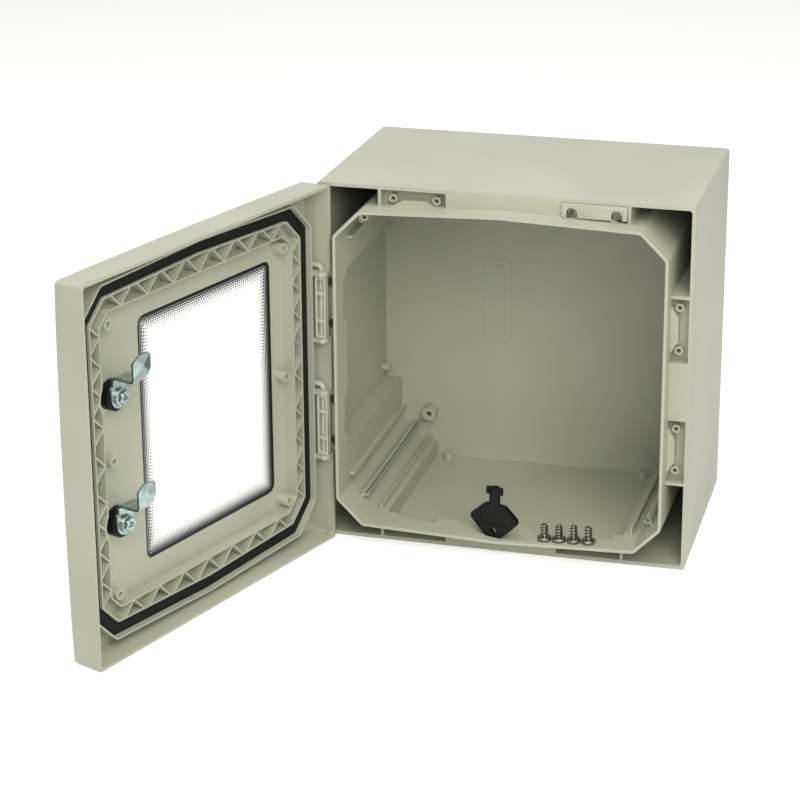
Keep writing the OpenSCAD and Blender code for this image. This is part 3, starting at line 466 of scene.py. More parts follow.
def surface(name: str, grid: Array, close_u: bool, close_v: bool) -> bpy.types.Object:
    """Makes a mesh from a grid of points: each cell between four neighbours is one face.

    Args:
        name: the piece's name.
        grid: points in metres, as an array of shape (u, v, 3).
        close_u: the last row joins the first.
        close_v: the last column joins the first.

    Returns:
        The new object at the origin.
    """
    rows, columns = grid.shape[:2]
    i = np.arange(rows if close_u else rows - 1)[:, None]
    j = np.arange(columns if close_v else columns - 1)[None, :]
    here, beyond = i * columns, ((i + 1) % rows) * columns
    left, right = j, (j + 1) % columns
    quads = np.stack([here + left, beyond + left, beyond + right, here + right], -1).reshape(-1, 4)
    return mesh_piece(name, grid.reshape(-1, 3), quads)


def spun(name: str, radius: Array, height: Array, turn: Array) -> bpy.types.Object:
    """Makes a closed turned shape from a grid of radii and heights.

    The point of row i and column j is (radius cos turn_j, radius sin turn_j, height), and the first and last
    rows shrink to a point, which closes the shape.

    Args:
        name: the piece's name.
        radius: radii in metres, shape (u, v) or (u, 1).
        height: heights in metres, shape (u, v) or (u, 1).
        turn: angles in radians, shape (v,).

    Returns:
        The new object, about the upright through the origin.
    """
    r = np.broadcast_to(radius, (radius.shape[0], turn.size))
    h = np.broadcast_to(height, r.shape)
    return surface(name, np.stack([r * np.cos(turn), r * np.sin(turn), h], -1), False, True)


def settle(piece: bpy.types.Object, matrix: Matrix, smooth: float = 35.0) -> bpy.types.Object:
    """Moves a piece's mesh to its place, merges its poles, turns its faces outwards and smooths its curves.

    Args:
        piece: the object.
        matrix: from the piece's own axes to the frame, in metres.
        smooth: edges that turn by more degrees than this stay sharp.

    Returns:
        The piece.
    """
    work = bmesh.new()
    work.from_mesh(piece.data)
    bmesh.ops.remove_doubles(work, verts=work.verts, dist=POLE_GAP)
    bmesh.ops.transform(work, matrix=matrix, verts=work.verts)
    bmesh.ops.recalc_face_normals(work, faces=work.faces)
    work.to_mesh(piece.data)
    work.free()
    piece.data.shade_smooth()
    piece.data.set_sharp_from_angle(angle=math.radians(smooth))
    return piece


def softened(
    node: bpy.types.Object, radius: float, segments: int = 2, angle: float = 32.0
) -> bpy.types.Object:
    """Copies a part's mesh, merges its loose triangles and rounds its edges, as the mould leaves them.

    Args:
        node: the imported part.
        radius: how far the rounding reaches from an edge, in millimetres.
        segments: strips across the rounding.
        angle: the least turn in degrees that counts as an edge.

    Returns:
        The new piece, on no body yet.
    """
    mesh = node.data.copy()
    work = bmesh.new()
    work.from_mesh(mesh)
    bmesh.ops.remove_doubles(work, verts=work.verts, dist=PACKED_GAP)
    bmesh.ops.dissolve_limit(
        work, angle_limit=math.radians(FLAT_TURN), verts=work.verts, edges=work.edges
    )
    work.to_mesh(mesh)
    work.free()
    mesh.shade_smooth()
    piece = bpy.data.objects.new(node.name + "_rounded", mesh)
    bpy.context.scene.collection.objects.link(piece)
    bevel = piece.modifiers.new("rounding", "BEVEL")
    bevel.width, bevel.segments = radius * MM, segments
    bevel.limit_method, bevel.angle_limit = "ANGLE", math.radians(angle)
    bevel.harden_normals = True
    return piece


def corners(node: bpy.types.Object) -> Array:
    """Gives a part's corner points in metres, shape (n, 3)."""
    out = np.empty(len(node.data.vertices) * 3, np.float32)
    node.data.vertices.foreach_get("co", out)
    return out.reshape(-1, 3).astype(float)


def cross(p: Array, q: Array) -> Array:
    """Gives the cross product of vectors in a plane, p_x q_y - p_y q_x."""
    return p[..., 0] * q[..., 1] - p[..., 1] * q[..., 0]


def ray_reach(loop: Array, angles: Array) -> Array:
    """Finds how far a closed line round the origin is, in each direction.

    A ray r(cos, sin) meets the segment a to b where r = (a x (b - a)) / (u x (b - a)), and only the hit that
    lies between the segment's ends counts.

    Args:
        loop: corner points of the closed line, shape (n, 2).
        angles: directions in radians, shape (m,).

    Returns:
        The distances, shape (m,).
    """
    start, step = loop, np.roll(loop, -1, 0) - loop
    ray = np.stack([np.cos(angles), np.sin(angles)], -1)[:, None]
    base = cross(ray, step)
    # a ray along a segment never meets it
    base = np.where(np.abs(base) < 1e-15, 1e-15, base)
    reach, along = cross(start, step) / base, cross(start, ray) / base
    hit = (along > -1e-6) & (along < 1 + 1e-6) & (reach > 0)
    return np.where(hit, reach, -1).max(1)


def rounded_oblong(half: tuple[float, float], radius: float, inset: Array, corner: Array) -> Array:
    """Draws oblongs with round corners inside each other.

    At a corner a point lies at centre + r (cos, sin), where r is the radius less the inset. An inset past the
    radius leaves the corner sharp, and its centre moves in instead.

    Args:
        half: half the outer oblong's width and height in millimetres.
        radius: its corners' radius in millimetres.
        inset: distances inwards in millimetres, shape (v,).
        corner: how far round each corner its points lie, from 0 to 1, shape (c,).

    Returns:
        Points (across, height) in millimetres, shape (4 c, v, 2).
    """
    quarter = np.repeat(np.arange(4), corner.size)
    turn = (np.tile(corner, 4) + quarter)[:, None] * math.pi / 2
    side = np.array([[1, 1], [-1, 1], [-1, -1], [1, -1]])[quarter]
    left = radius - inset[None, :]
    r, inwards = np.maximum(left, 0), np.minimum(left, 0)
    x = side[:, :1] * (half[0] - radius + inwards) + r * np.cos(turn)
    z = side[:, 1:] * (half[1] - radius + inwards) + r * np.sin(turn)
    return np.stack([x, z], -1)


@dataclass(frozen=True)
class CrossRecess:
    """A cross recess in a screw's head: how far its arms reach, how wide they are and how deep it is."""

    reach: float
    width: float
    deep: float
    end_slope: float = 0.6

    def depth(self, x: Array, y: Array) -> Array:
        """Gives how deep the recess is at each point.

        The depth is deep * clip(0.5 - d / rim), where d is how far the point lies outside the nearer arm. The
        arms' walls slope over half their width, and their ends slope less steeply.

        Args:
            x: the points' first coordinates in millimetres.
            y: their second coordinates.

        Returns:
            The depths in millimetres, of the points' shape.
        """
        rim = self.width / 2
        first = np.maximum(np.abs(y) - rim, (np.abs(x) - self.reach) * self.end_slope)
        second = np.maximum(np.abs(x) - rim, (np.abs(y) - self.reach) * self.end_slope)
        return self.deep * np.clip(0.5 - np.minimum(first, second) / rim, 0, 1)


class Hinge:
    """The door's hinge: it takes points from the shut door to the door's place in the frame."""

    def __init__(self, frame: dict[str, Any]) -> None:
        """Reads the axis, and how far the door still has to turn to be shut."""
        joint = next(j for j in frame["joints"] if j["name"] == "door_hinge")
        self.place: Array = np.array(joint["pos_m"], float)
        self.angle: float = -math.radians(joint["range_deg"][1])
        # the housing's rim lies this far in front of its back
        self.rim: float = -181 * MM

    def swing(self, points: Array) -> Array:
        """Turns points of the shut door to the open door.

        The turn is about the upright through the hinge: x' = x cos - y sin and y' = x sin + y cos.

        Args:
            points: (across, depth before the rim, height) in metres, in the last axis.

        Returns:
            Places in the frame, in metres, of the same shape.
        """
        x = points[..., 0] - self.place[0]
        y = self.rim - points[..., 1] - self.place[1]
        c, s = math.cos(self.angle), math.sin(self.angle)
        return np.stack([x * c - y * s + self.place[0], x * s + y * c + self.place[1], points[..., 2]], -1)

    def shut(self, points: Array) -> Array:
        """Turns places in the frame, in metres, back to (across, depth before the rim, height)."""
        x, y = points[..., 0] - self.place[0], points[..., 1] - self.place[1]
        c, s = math.cos(self.angle), -math.sin(self.angle)
        depth = self.rim - (x * s + y * c + self.place[1])
        return np.stack([x * c - y * s + self.place[0], depth, points[..., 2]], -1)


@dataclass
class DoorSeal:
    """The foam strip in the door's channel, an octagon whose upper and lower runs are slightly gabled.

    `gable` is how far a gable rises over its half span `half_span`, `corner` is the sum of a slanted side's
    coordinates as a multiple of a straight side's distance, and `band` parts the inner line from the outer.
    """

    crown: float = 1.0
    crisp: float = 40.0
    gable: float = 3.8
    half_span: float = 118.0
    corner: float = 1.83
    band: float = 4.5
    steps: int = 9
    rays: int = 360

    def lines(self, points: Array, face: float) -> tuple[Array, Array]:
        """Finds the channel's outer and inner line on the seal's face.

        A point's size is the largest of |x|, |z| less the gable there, and (|x| + |z|) / corner. Points whose
        size is within a band of the least are on the inner line.

        Args:
            points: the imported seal's points on the shut door, in metres.
            face: the face's depth in metres.

        Returns:
            Corner points (across, height) in metres of the outer and the inner line, in order round the door.
        """
        flat = np.unique(np.round(points[np.abs(points[:, 1] - face) < 1e-5][:, [0, 2]], 6), axis=0)
        x, z = np.abs(flat).T
        rise = self.gable * MM * (1 - x / (self.half_span * MM)).clip(0, 1)
        size = np.maximum.reduce([x, z - rise, (x + z) / self.corner])
        outside = size > size.min() + self.band * MM
        turn = np.arctan2(flat[:, 1], flat[:, 0])
        outer, inner = (flat[side][np.argsort(turn[side])] for side in (outside, ~outside))
        return outer, inner

    def build(self, frame: dict[str, Any], hinge: Hinge, finishes: Finishes) -> bpy.types.Object:
        """Fills the channel with a strip whose face is crowned.

        Between the channel's inner and outer line a point lies at the share t of the way across, and its
        depth is the face's depth plus crown * |2t - 1|^3. The back lies on the channel's floor.

        Args:
            frame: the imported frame.
            hinge: the door's hinge.
            finishes: the materials.

        Returns:
            The strip.
        """
        points = hinge.shut(corners(frame["nodes"]["door_gasket"]))
        face, floor = points[:, 1].min(), points[:, 1].max()
        loops = self.lines(points, face)
        # a ray to every corner keeps the slanted sides crisp
        own = [np.arctan2(loop[:, 1], loop[:, 0]) for loop in loops]
        even = np.linspace(-math.pi, math.pi, self.rays, endpoint=False)
        angles = np.unique(np.round(np.concatenate([even, *own]), 5))
        angles = angles[angles < math.pi - 1e-4]
        outer, inner = (ray_reach(loop, angles)[:, None] for loop in loops)
        t = np.linspace(0, 1, self.steps)
        share = np.concatenate([t, [1.0, 0.0]])
        depth = np.concatenate([face + self.crown * MM * np.abs(2 * t - 1) ** 3, [floor, floor]])
        reach = inner + (outer - inner) * share
        way = angles[:, None]
        grid = np.stack([reach * np.cos(way), np.broadcast_to(depth, reach.shape), reach * np.sin(way)], -1)
        strip = surface("seal_strip", hinge.swing(grid), True, True)
        strip.data.shade_smooth()
        strip.data.set_sharp_from_angle(angle=math.radians(self.crisp))
        finishes.dress(strip, Slot.RUBBER)
        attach(strip, "door")
        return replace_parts(strip, "door_gasket")


@dataclass
class Window:
    """The printed border on the pane's inner face, round an opening of a given width and height.

    The print starts under the opening's edge, tucked out by `tuck`, and lies `lift` in front of the pane.
    """

    width: float = 163.0
    height: float = 195.0
    radius: float = 7.0
    band: float = 14.5
    tuck: float = 1.2
    lift: float = 0.06
    rings: int = 12
    corner_points: int = 9

    def mark_print(self, border: bpy.types.Object, inward: Array, corner: Array) -> None:
        """Gives each face its place on the print's plan: how far along the edge, and how far in from it.

        Args:
            border: the border's mesh, whose faces run along the edge ring by ring.
            inward: the rings' distances from the opening's edge in millimetres, shape (v,).
            corner: how far round each corner its points lie, shape (c,).
        """
        share = np.broadcast_to((inward / self.band).clip(0, 1), (4 * corner.size, inward.size))
        mark = border.data.attributes.new("inward", "FLOAT", "POINT")
        mark.data.foreach_set("value", share.ravel().astype(np.float32))
        half = (self.width / 2, self.height / 2)
        rim = rounded_oblong(half, self.radius, np.zeros(1), corner)[:, 0] * MM
        run = np.concatenate([[0], np.cumsum(np.linalg.norm(np.roll(rim, -1, 0) - rim, axis=1))])
        along = np.stack([run[:-1], run[1:], run[1:], run[:-1]], -1)[:, None]
        across = np.stack([inward[:-1], inward[:-1], inward[1:], inward[1:]], -1)[None] * MM
        plan = np.stack(np.broadcast_arrays(along, across), -1)
        layer = border.data.uv_layers.new(name="print")
        layer.data.foreach_set("uv", plan.ravel().astype(np.float32))

    def build(self, frame: dict[str, Any], hinge: Hinge, finishes: Finishes) -> bpy.types.Object:
        """Lays the inked border on the pane, as rings from just outside the opening's edge inwards.

        Args:
            frame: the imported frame.
            hinge: the door's hinge.
            finishes: the materials.

        Returns:
            The border.
        """
        pane = hinge.shut(corners(frame["nodes"]["window_pane"]))
        depth = pane[:, 1].min() - self.lift * MM
        middle = (pane[:, 0].min() + pane[:, 0].max()) / 2
        inward = np.linspace(-self.tuck, self.band, self.rings)
        # the last point of a corner stops just short, so that no face has two points in one place
        corner = np.linspace(0, 0.999, self.corner_points)
        flat = rounded_oblong((self.width / 2, self.height / 2), self.radius, inward, corner) * MM
        grid = np.stack([flat[..., 0] + middle, np.full(flat.shape[:2], depth), flat[..., 1]], -1)
        border = surface("window_print", hinge.swing(grid), True, False)
        self.mark_print(border, inward, corner)
        border.data.materials.append(finishes.ink)
        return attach(border, "door")


@dataclass
class PanScrew:
    """A stainless pan-head screw with a cross recess; its head's top is up and its axis is z.

    `flat` is the share of the head's radius that is nearly flat, and it falls by `crown`; outside it the
    shoulder bends down to `edge`.
    """

    head: float = 8.0
    height: float = 2.4
    shank: float = 3.2
    length: float = 8.0
    flat: float = 0.86
    crown: float = 0.35
    edge: float = 0.9
    recess: CrossRecess = CrossRecess(2.08, 1.1, 1.3)
    ring: int = 64
    flat_rings: int = 26

    def build(self, name: str) -> bpy.types.Object:
        """Turns the head and the shank.

        The shoulder is r = R (flat + (1 - flat) sin) and h = edge + (H - edge) cos, over a quarter turn.

        Args:
            name: the piece's name.

        Returns:
            The screw, about the upright through the origin.
        """
        turn = np.linspace(0, FULL, self.ring, endpoint=False)
        reach = self.head / 2
        flat = np.linspace(0, self.flat, self.flat_rings)
        bend = np.linspace(0, math.pi / 2, 7)[1:]
        shoulder = (self.flat + (1 - self.flat) * np.sin(bend)) * reach
        below = [reach, self.shank / 2, self.shank / 2, 0]
        radius = np.concatenate([flat * reach, shoulder, below])
        crown = self.height - self.crown * (flat / self.flat) ** 2
        side = crown[-1] - (crown[-1] - self.edge) * (1 - np.cos(bend))
        height = np.concatenate([crown, side, [0, 0, -self.length, -self.length]])
        r, h = np.broadcast_arrays(radius[:, None], height[:, None])
        x, y = r * np.cos(turn), r * np.sin(turn)
        top = (np.arange(radius.size) < flat.size)[:, None]
        drop = np.where(top, self.recess.depth(x, y), 0)
        return spun(name, r * MM * np.ones_like(x), (h - drop) * MM, turn)


@dataclass
class SmallScrews:
    """The screws of the hinge blocks and the pocket insert; each one's recess is turned a bit further."""

    screw: PanScrew
    first_turn: float = 0.4
    next_turn: float = 0.7

    def seats(self, node: str, points: Array) -> list[tuple[float, float]]:
        """Finds the middles of the heads: a head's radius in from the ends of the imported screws' box.

        Args:
            node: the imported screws' name.
            points: their corner points in metres.

        Returns:
            Places (across, height) in metres.
        """
        low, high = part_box(node)
        r = self.screw.head / 2 * MM
        if node == "pocket_insert_screws":
            return [(low.x + r, high.z - r), (high.x - r, high.z - r)]
        nearest = np.abs(points[:, 2]).min() + r
        return [((low.x + high.x) / 2, side * z) for side in (-1, 1) for z in (nearest, high.z - r)]

    def build(self, frame: dict[str, Any], finishes: Finishes) -> None:
        """Sets one screw in each seat, with its head towards the front.

        Args:
            frame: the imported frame.
            finishes: the materials.
        """
        stand = Matrix.Rotation(math.pi / 2, 4, "X")
        for node in ("pocket_insert_screws", "hinge_block_screws"):
            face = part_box(node)[0].y
            pieces = []
            for number, (x, z) in enumerate(self.seats(node, corners(frame["nodes"][node]))):
                piece = self.screw.build(f"{node}_{number + 1}")
                turn = Matrix.Rotation(self.first_turn + self.next_turn * number, 4, "Z")
                seat = Matrix.Translation((x, face + self.screw.height * MM, z))
                settle(piece, seat @ stand @ turn)
                finishes.dress(piece, Slot.STEEL)
                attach(piece, "housing")
                pieces.append(piece)
            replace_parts(pieces[0], node)


@dataclass
class PlateScrews:
    """The four loose coarse-threaded screws that stand on their heads on the collar's gabled floor.

    `edge` and `lip` round the head's lower and upper edge. `tooth` is the share of a pitch that a thread's
    flank takes; the thread grows over `lead_in` and dies out over `lead_out`, and the shank narrows by the
    share `narrowing` over its `point`. `rise` over `run` is the floor's slope.
    """

    head: float = 11.2
    head_height: float = 3.4
    edge: float = 1.5
    lip: float = 0.7
    fillet: float = 0.5
    recess: CrossRecess = CrossRecess(2.8, 1.4, 1.8)
    core: float = 3.9
    crest: float = 6.7
    pitch: float = 2.5
    tooth: float = 0.24
    length: float = 11.0
    lead_in: float = 0.8
    lead_out: float = 1.2
    point: float = 2.4
    narrowing: float = 0.32
    rise: float = 3.8
    run: float = 113.0
    first_turn: float = 0.6
    next_turn: float = 1.9
    count: int = 4
    ring: int = 40
    face_rings: int = 12
    thread_rings: int = 110

    def head_grid(self, turn: Array) -> tuple[Array, Array]:
        """Works out the head, from its recessed face on the floor up to the shank.

        The head is a disc whose lower edge is rounded by r = R - e + e sin and h = e - e cos, and whose upper
        edge is rounded in the same way by the lip.

        Args:
            turn: angles in radians, shape (v,).

        Returns:
            Radii and heights in millimetres, each of shape (u, v).
        """
        bend = np.linspace(0, math.pi / 2, 6)
        rim = self.head / 2
        face = np.linspace(0, rim - self.edge - 0.3, self.face_rings)
        lower, upper = rim - self.edge + self.edge * np.sin(bend), rim - self.lip + self.lip * np.cos(bend)
        radius = np.concatenate([face, lower, upper, [self.core / 2 + self.fillet]])
        shoulder = self.head_height - self.lip + self.lip * np.sin(bend)
        flat = np.zeros(self.face_rings)
        height = np.concatenate([flat, self.edge - self.edge * np.cos(bend), shoulder, [self.head_height]])
        x, y = face[:, None] * np.cos(turn), face[:, None] * np.sin(turn)
        plain = np.zeros((radius.size - self.face_rings, turn.size))
        lift = np.concatenate([self.recess.depth(x, y), plain])
        return np.broadcast_to(radius[:, None], lift.shape), height[:, None] + lift

    def thread_grid(self, turn: Array) -> tuple[Array, Array]:
        """Works out the threaded shank, whose end tapers and is closed by a flat.

        The radius is core + (crest - core) * ridge, where ridge is a narrow tooth of the common phase
        z / pitch - turn / 2 pi of height and angle, and the thread dies out towards both ends.

        Args:
            turn: angles in radians, shape (v,).

        Returns:
            Radii and heights in millimetres, each of shape (u, v).
        """
        base, top = self.head_height, self.head_height + self.length
        z = np.linspace(base, top, self.thread_rings)
        phase = np.mod((z[:, None] - base) / self.pitch - turn / FULL, 1.0)
        ridge = np.clip(1 - np.abs(phase - 0.5) / self.tooth, 0, 1) ** 0.8
        grows = np.clip((z - base - self.lead_in) / self.lead_in, 0, 1)
        fade = grows * np.clip((top - z) / self.lead_out, 0, 1)
        taper = 1 - self.narrowing * np.clip((z - top + self.point) / self.point, 0, 1) ** 2
        thread = self.core / 2 * taper[:, None] + (self.crest - self.core) / 2 * ridge * fade[:, None] ** 0.7
        radius = np.concatenate([thread, np.zeros((1, turn.size))])
        height = np.concatenate([z, [top]])[:, None]
        return radius, np.broadcast_to(height, radius.shape)

    def build(self, frame: dict[str, Any], finishes: Finishes) -> None:
        """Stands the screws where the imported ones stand, square to the sloping floor.

        Args:
            frame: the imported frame.
            finishes: the materials.
        """
        low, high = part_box("plate_screws")
        points = corners(frame["nodes"]["plate_screws"])
        turn = np.linspace(0, FULL, self.ring, endpoint=False)
        rows = (self.head_grid(turn), self.thread_grid(turn))
        radius, height = (np.concatenate(part) * MM for part in zip(*rows))
        rim = self.head / 2 * MM
        first, step = low.x + rim, (high.x - low.x - 2 * rim) / (self.count - 1)
        slope = math.atan2(self.rise, self.run)
        tilt = Matrix.Rotation(-slope, 4, "Y")
        for number in range(self.count):
            x = first + number * step
            near = points[np.abs(points[:, 0] - x) < rim]
            base = float(near[:, 2].min()) + rim * math.sin(slope)
            piece = spun(f"plate_screw_{number + 1}", radius, height, turn)
            spin = Matrix.Rotation(number * self.next_turn + self.first_turn, 4, "Z")
            settle(piece, Matrix.Translation((x, (low.y + high.y) / 2, base)) @ tilt @ spin)
            finishes.dress(piece, Slot.STEEL)
            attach(piece, "loose_screws")
            if number == 0:
                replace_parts(piece, "plate_screws")


@dataclass
class CamLock:
    """The moving inner end of a quarter-turn lock: a cranked sheet-steel cam and the bolt that holds it.

    The cam's foot lies under the bolt, its web runs towards the housing, and its tongue stands up from the
    web's far end. A corner's cut is (where it starts, its slope): the tongue's upper cuts start that far
    below its top, and the lower one ends that far above the web.
    """

    sheet: float = 2.2
    foot: float = 9.0
    web: float = 14.5
    back: float = 15.4
    tongue_depth: float = -6.2
    reach: float = 34.4
    inner: float = -13.0
    outer: float = 6.5
    bend: float = 2.6
    outer_cut: tuple[float, float] = (4.0, 1.7)
    inner_cut: tuple[float, float] = (1.8, 0.9)
    lower_cut: tuple[float, float] = (8.5, 0.8)
    coin: float = 1.3
    coin_share: float = 1.02
    coin_lift: float = 2.5
    coin_margin: float = 3.0
    rounding: float = 0.55
    across: float = 100.4
    bolt: float = 10.0
    bolt_height: float = 4.5
    flange: float = 13.2
    flange_height: float = 0.8
    bolt_turn: float = 0.3
    recess: CrossRecess = CrossRecess(3.0, 1.2, 1.8)
    heights: tuple[float, float] = (50.0, -50.0)

    def path(self) -> tuple[Array, Array]:
        """Gives the sheet's middle line, with both bends rounded.

        Each bend is a quarter circle between two straight runs, which are split into steps of about 0.7 mm.

        Returns:
            Depths and heights above the lock's axis, in millimetres.
        """
        half, b = self.sheet / 2, self.bend
        near, level, far = self.back - half, self.web + half, self.tongue_depth + half
        q = np.linspace(0, math.pi / 2, 7)
        foot = np.linspace(-self.foot, level - b, 30)
        run = np.linspace(near - b, far + b, 22)[1:-1]
        rise = np.linspace(level + b, self.reach, 26)[1:]
        first = near - b + b * np.cos(q[1:])
        second = far + b - b * np.sin(q)
        depth = np.concatenate([np.full(foot.size, near), first, run, second, np.full(rise.size, far)])
        up_first, up_second = level - b + b * np.sin(q[1:]), level + b - b * np.cos(q)
        height = np.concatenate([foot, up_first, np.full(run.size, level), up_second, rise])
        return depth, height

    def sides(self, height: Array, on_tongue: Array) -> tuple[Array, Array]:
        """Gives the sheet's inner and outer edge along its middle line.

        The foot's low end is a half circle, x = sqrt(foot^2 - z^2). The tongue is wider, and its corners are
        cut by straight lines.

        Args:
            height: heights above the lock's axis in millimetres.
            on_tongue: which of the line's points are on the tongue.

        Returns:
            The two edges' places across, in millimetres.
        """
        arc = np.sqrt(np.maximum(self.foot**2 - np.minimum(height, 0) ** 2, 1.0))
        half = np.minimum(arc, self.foot)
        inner = np.where(on_tongue, self.inner, -half)
        outer = np.where(on_tongue | (height > self.foot), self.outer, half)
        outer_cut = np.maximum(height - (self.reach - self.outer_cut[0]), 0) * self.outer_cut[1]
        inner_cut = np.maximum(height - (self.reach - self.inner_cut[0]), 0) * self.inner_cut[1]
        lower_cut = np.maximum(self.web + self.lower_cut[0] - height, 0) * self.lower_cut[1]
        return inner + (inner_cut + lower_cut) * on_tongue, outer - outer_cut * on_tongue

    def cam(self, hinge: Hinge, z: float, name: str) -> bpy.types.Object:
        """Builds one cam: across the sheet a point is inner + (outer - inner) w.

        The tongue is coined to a flat pyramid: its depth falls by coin * (1 - max(|u|, |v|)), with u and v
        running from -1 to 1 over the tongue. The sheet then gets its thickness and its rounded edges.

        Args:
            hinge: the door's hinge.
            z: the lock's height in millimetres.
            name: the piece's name.

        Returns:
            The cam, on no body yet.
        """
        depth, height = self.path()
        on_tongue = depth < self.tongue_depth + self.sheet
        inner, outer = self.sides(height, on_tongue)
        w = np.linspace(0, 1, 17)
        x = inner[:, None] + (outer - inner)[:, None] * w
        middle = (self.web + self.reach) / 2 + self.coin_lift
        tall = (self.reach - self.web) / 2 - self.coin_margin
        u, v = 2 * w[None, :] - 1, (height[:, None] - middle) / tall
        pyramid = np.clip(1 - np.maximum(np.abs(u) * self.coin_share, np.abs(v)), 0, 1) * on_tongue[:, None]
        d = depth[:, None] - self.coin * pyramid
        grid = np.stack([x + self.across, d, height[:, None] + z + 0 * x], -1) * MM
        piece = surface(name, hinge.swing(grid), False, False)
        wall = piece.modifiers.new("sheet", "SOLIDIFY")
        wall.thickness, wall.offset = self.sheet * MM, 0.0
        wall.use_even_offset = True
        piece.data.shade_smooth()
        bevel = piece.modifiers.new("edges", "BEVEL")
        bevel.width, bevel.segments = self.rounding * MM, 2
        bevel.limit_method, bevel.angle_limit = "ANGLE", math.radians(50)
        bevel.harden_normals = True
        return piece

    def bolt_head(self, name: str) -> bpy.types.Object:
        """Builds the hexagon bolt on its round flange, with a cross recess in its top.

        At share 1 the radius is a hexagon's, R / cos(turn mod 60 degrees), and at share 0 a circle's; the
        chamfer blends from the one to the other.

        Args:
            name: the piece's name.

        Returns:
            The bolt's head, about the upright through the origin.
        """
        turn = np.linspace(0, FULL, 96, endpoint=False)
        sector = math.pi / 3
        hexagon = self.bolt / 2 / np.cos(np.mod(turn, sector) - sector / 2)
        circle, top = self.bolt / 2 * 0.97, self.bolt_height
        rim, foot = self.flange / 2, self.flange_height
        # the top, nearly flat: radius, height and share of the hexagon
        face = [(f * circle, top - 0.1 * f, 0) for f in np.linspace(0, 0.98, 24)]
        chamfer = [(circle, top - 0.15, 0), (circle * 1.03, top - 0.5, 0.45), (0, top - 1, 1)]
        flange = [(0, foot + 0.5, 1), (rim - 0.4, foot + 0.3, 0), (rim, foot, 0), (rim, 0, 0), (0, 0, 0)]
        radius, height, share = np.array(face + chamfer + flange).T[:, :, None]
        r = (1 - share) * radius + share * hexagon
        recess = self.recess.depth(r * np.cos(turn), r * np.sin(turn))
        drop = np.where((np.arange(radius.size) < len(face))[:, None], recess, 0)
        return spun(name, r * MM, (height - drop) * MM, turn)

    def build(self, frame: dict[str, Any], hinge: Hinge, finishes: Finishes) -> None:
        """Builds and dresses the moving parts of both locks.

        Args:
            frame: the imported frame.
            hinge: the door's hinge.
            finishes: the materials.
        """
        for which, z in zip(("upper", "lower"), self.heights):
            body = f"{which}_lock_rotor"
            cam = self.cam(hinge, z, f"cam_{which}_sheet")
            finishes.dress(cam, Slot.ZINC)
            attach(cam, body)
            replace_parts(cam, f"lock_cam_{which}")
            packed = hinge.shut(corners(frame["nodes"][f"cam_bolt_{which}"]))
            seat = packed[:, 1].min() / MM + self.bolt_height
            bolt = self.bolt_head(f"cam_{which}_bolt")
            here = hinge.swing(np.array([[self.across, seat, z], [self.across, seat - 1, z]]) * MM)
            aim = Vector(here[1] - here[0]).to_track_quat("Z", "Y").to_matrix().to_4x4()
            spin = Matrix.Rotation(self.bolt_turn, 4, "Z")
            settle(bolt, Matrix.Translation(here[0]) @ aim @ spin, 25.0)
            finishes.dress(bolt, Slot.ZINC)
            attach(bolt, body)
            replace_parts(bolt, f"cam_bolt_{which}")


@dataclass
class Relief:
    """Shallow marks of the mould on the back wall's inside: a framed oblong, two dimples and a gate mark.

    A dimple and the gate mark are given as (radius, rise), and each mark starts a hair inside the wall.
    """

    middle: tuple[float, float] = (-45.6, 0.8)
    half: tuple[float, float] = (12.6, 37.5)
    radius: float = 4.0
    width: float = 0.9
    rise: float = 0.35
    wall: float = -3.0
    sink: float = 0.01
    dimple: tuple[float, float] = (2.6, 0.5)
    dimple_heights: tuple[float, float] = (32.3, -29.8)
    gate: tuple[float, float] = (3.2, 0.45)
    gate_place: tuple[float, float] = (-14.5, -80.0)

    def bead(self) -> bpy.types.Object:
        """Sweeps a low bead round an oblong: at the share t of its width it is rise * sin(pi t) high."""
        t = np.linspace(0, 1, 7)
        flat = rounded_oblong(self.half, self.radius, self.width * t, np.linspace(0, 1, 10)) + self.middle
        y = self.wall + 2 * self.sink - np.broadcast_to(self.rise * np.sin(math.pi * t), flat.shape[:2])
        piece = surface("back_wall_bead", np.stack([flat[..., 0], y, flat[..., 1]], -1) * MM, True, False)
        piece.data.shade_smooth()
        return piece

    def mark(self, name: str, place: tuple[float, float], shape: tuple[float, float]) -> bpy.types.Object:
        """Builds a ring-shaped mark, whose height is rise * sin(pi r / R)^2.

        Args:
            name: the piece's name.
            place: its place (across, height) on the wall in millimetres.
            shape: its radius R and its rise in millimetres.

        Returns:
            The mark.
        """
        radius, rise = shape
        r = np.linspace(0, radius, 12)[:, None]
        turn = np.linspace(0, FULL, 28, endpoint=False)
        piece = spun(name, r * MM, rise * np.sin(math.pi * r / radius) ** 2 * MM, turn)
        spot = Matrix.Translation((place[0] * MM, (self.wall + self.sink) * MM, place[1] * MM))
        return settle(piece, spot @ Matrix.Rotation(math.pi / 2, 4, "X"), 80.0)

    def build(self, finishes: Finishes) -> None:
        """Lays the bead and the marks on the wall."""
        pieces = [self.bead()]
        for end, height in zip(("upper", "lower"), self.dimple_heights):
            pieces.append(self.mark(f"back_wall_mark_{end}", (self.middle[0], height), self.dimple))
        pieces.append(self.mark("back_wall_gate", self.gate_place, self.gate))
        for piece in pieces:
            finishes.dress(piece, Slot.HOUSING)
            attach(piece, "housing")


@dataclass
class RoundedParts:
    """The small mouldings whose edges a real mould leaves round; each has a radius, a body and a finish."""

    parts: dict[str, tuple[float, str, Slot]]

    def build(self, frame: dict[str, Any], finishes: Finishes) -> None:
        """Replaces each part by its rounded copy."""
        for node, (radius, body, slot) in self.parts.items():
            piece = softened(frame["nodes"][node], radius)
            finishes.dress(piece, slot)
            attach(piece, body)
            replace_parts(piece, node)


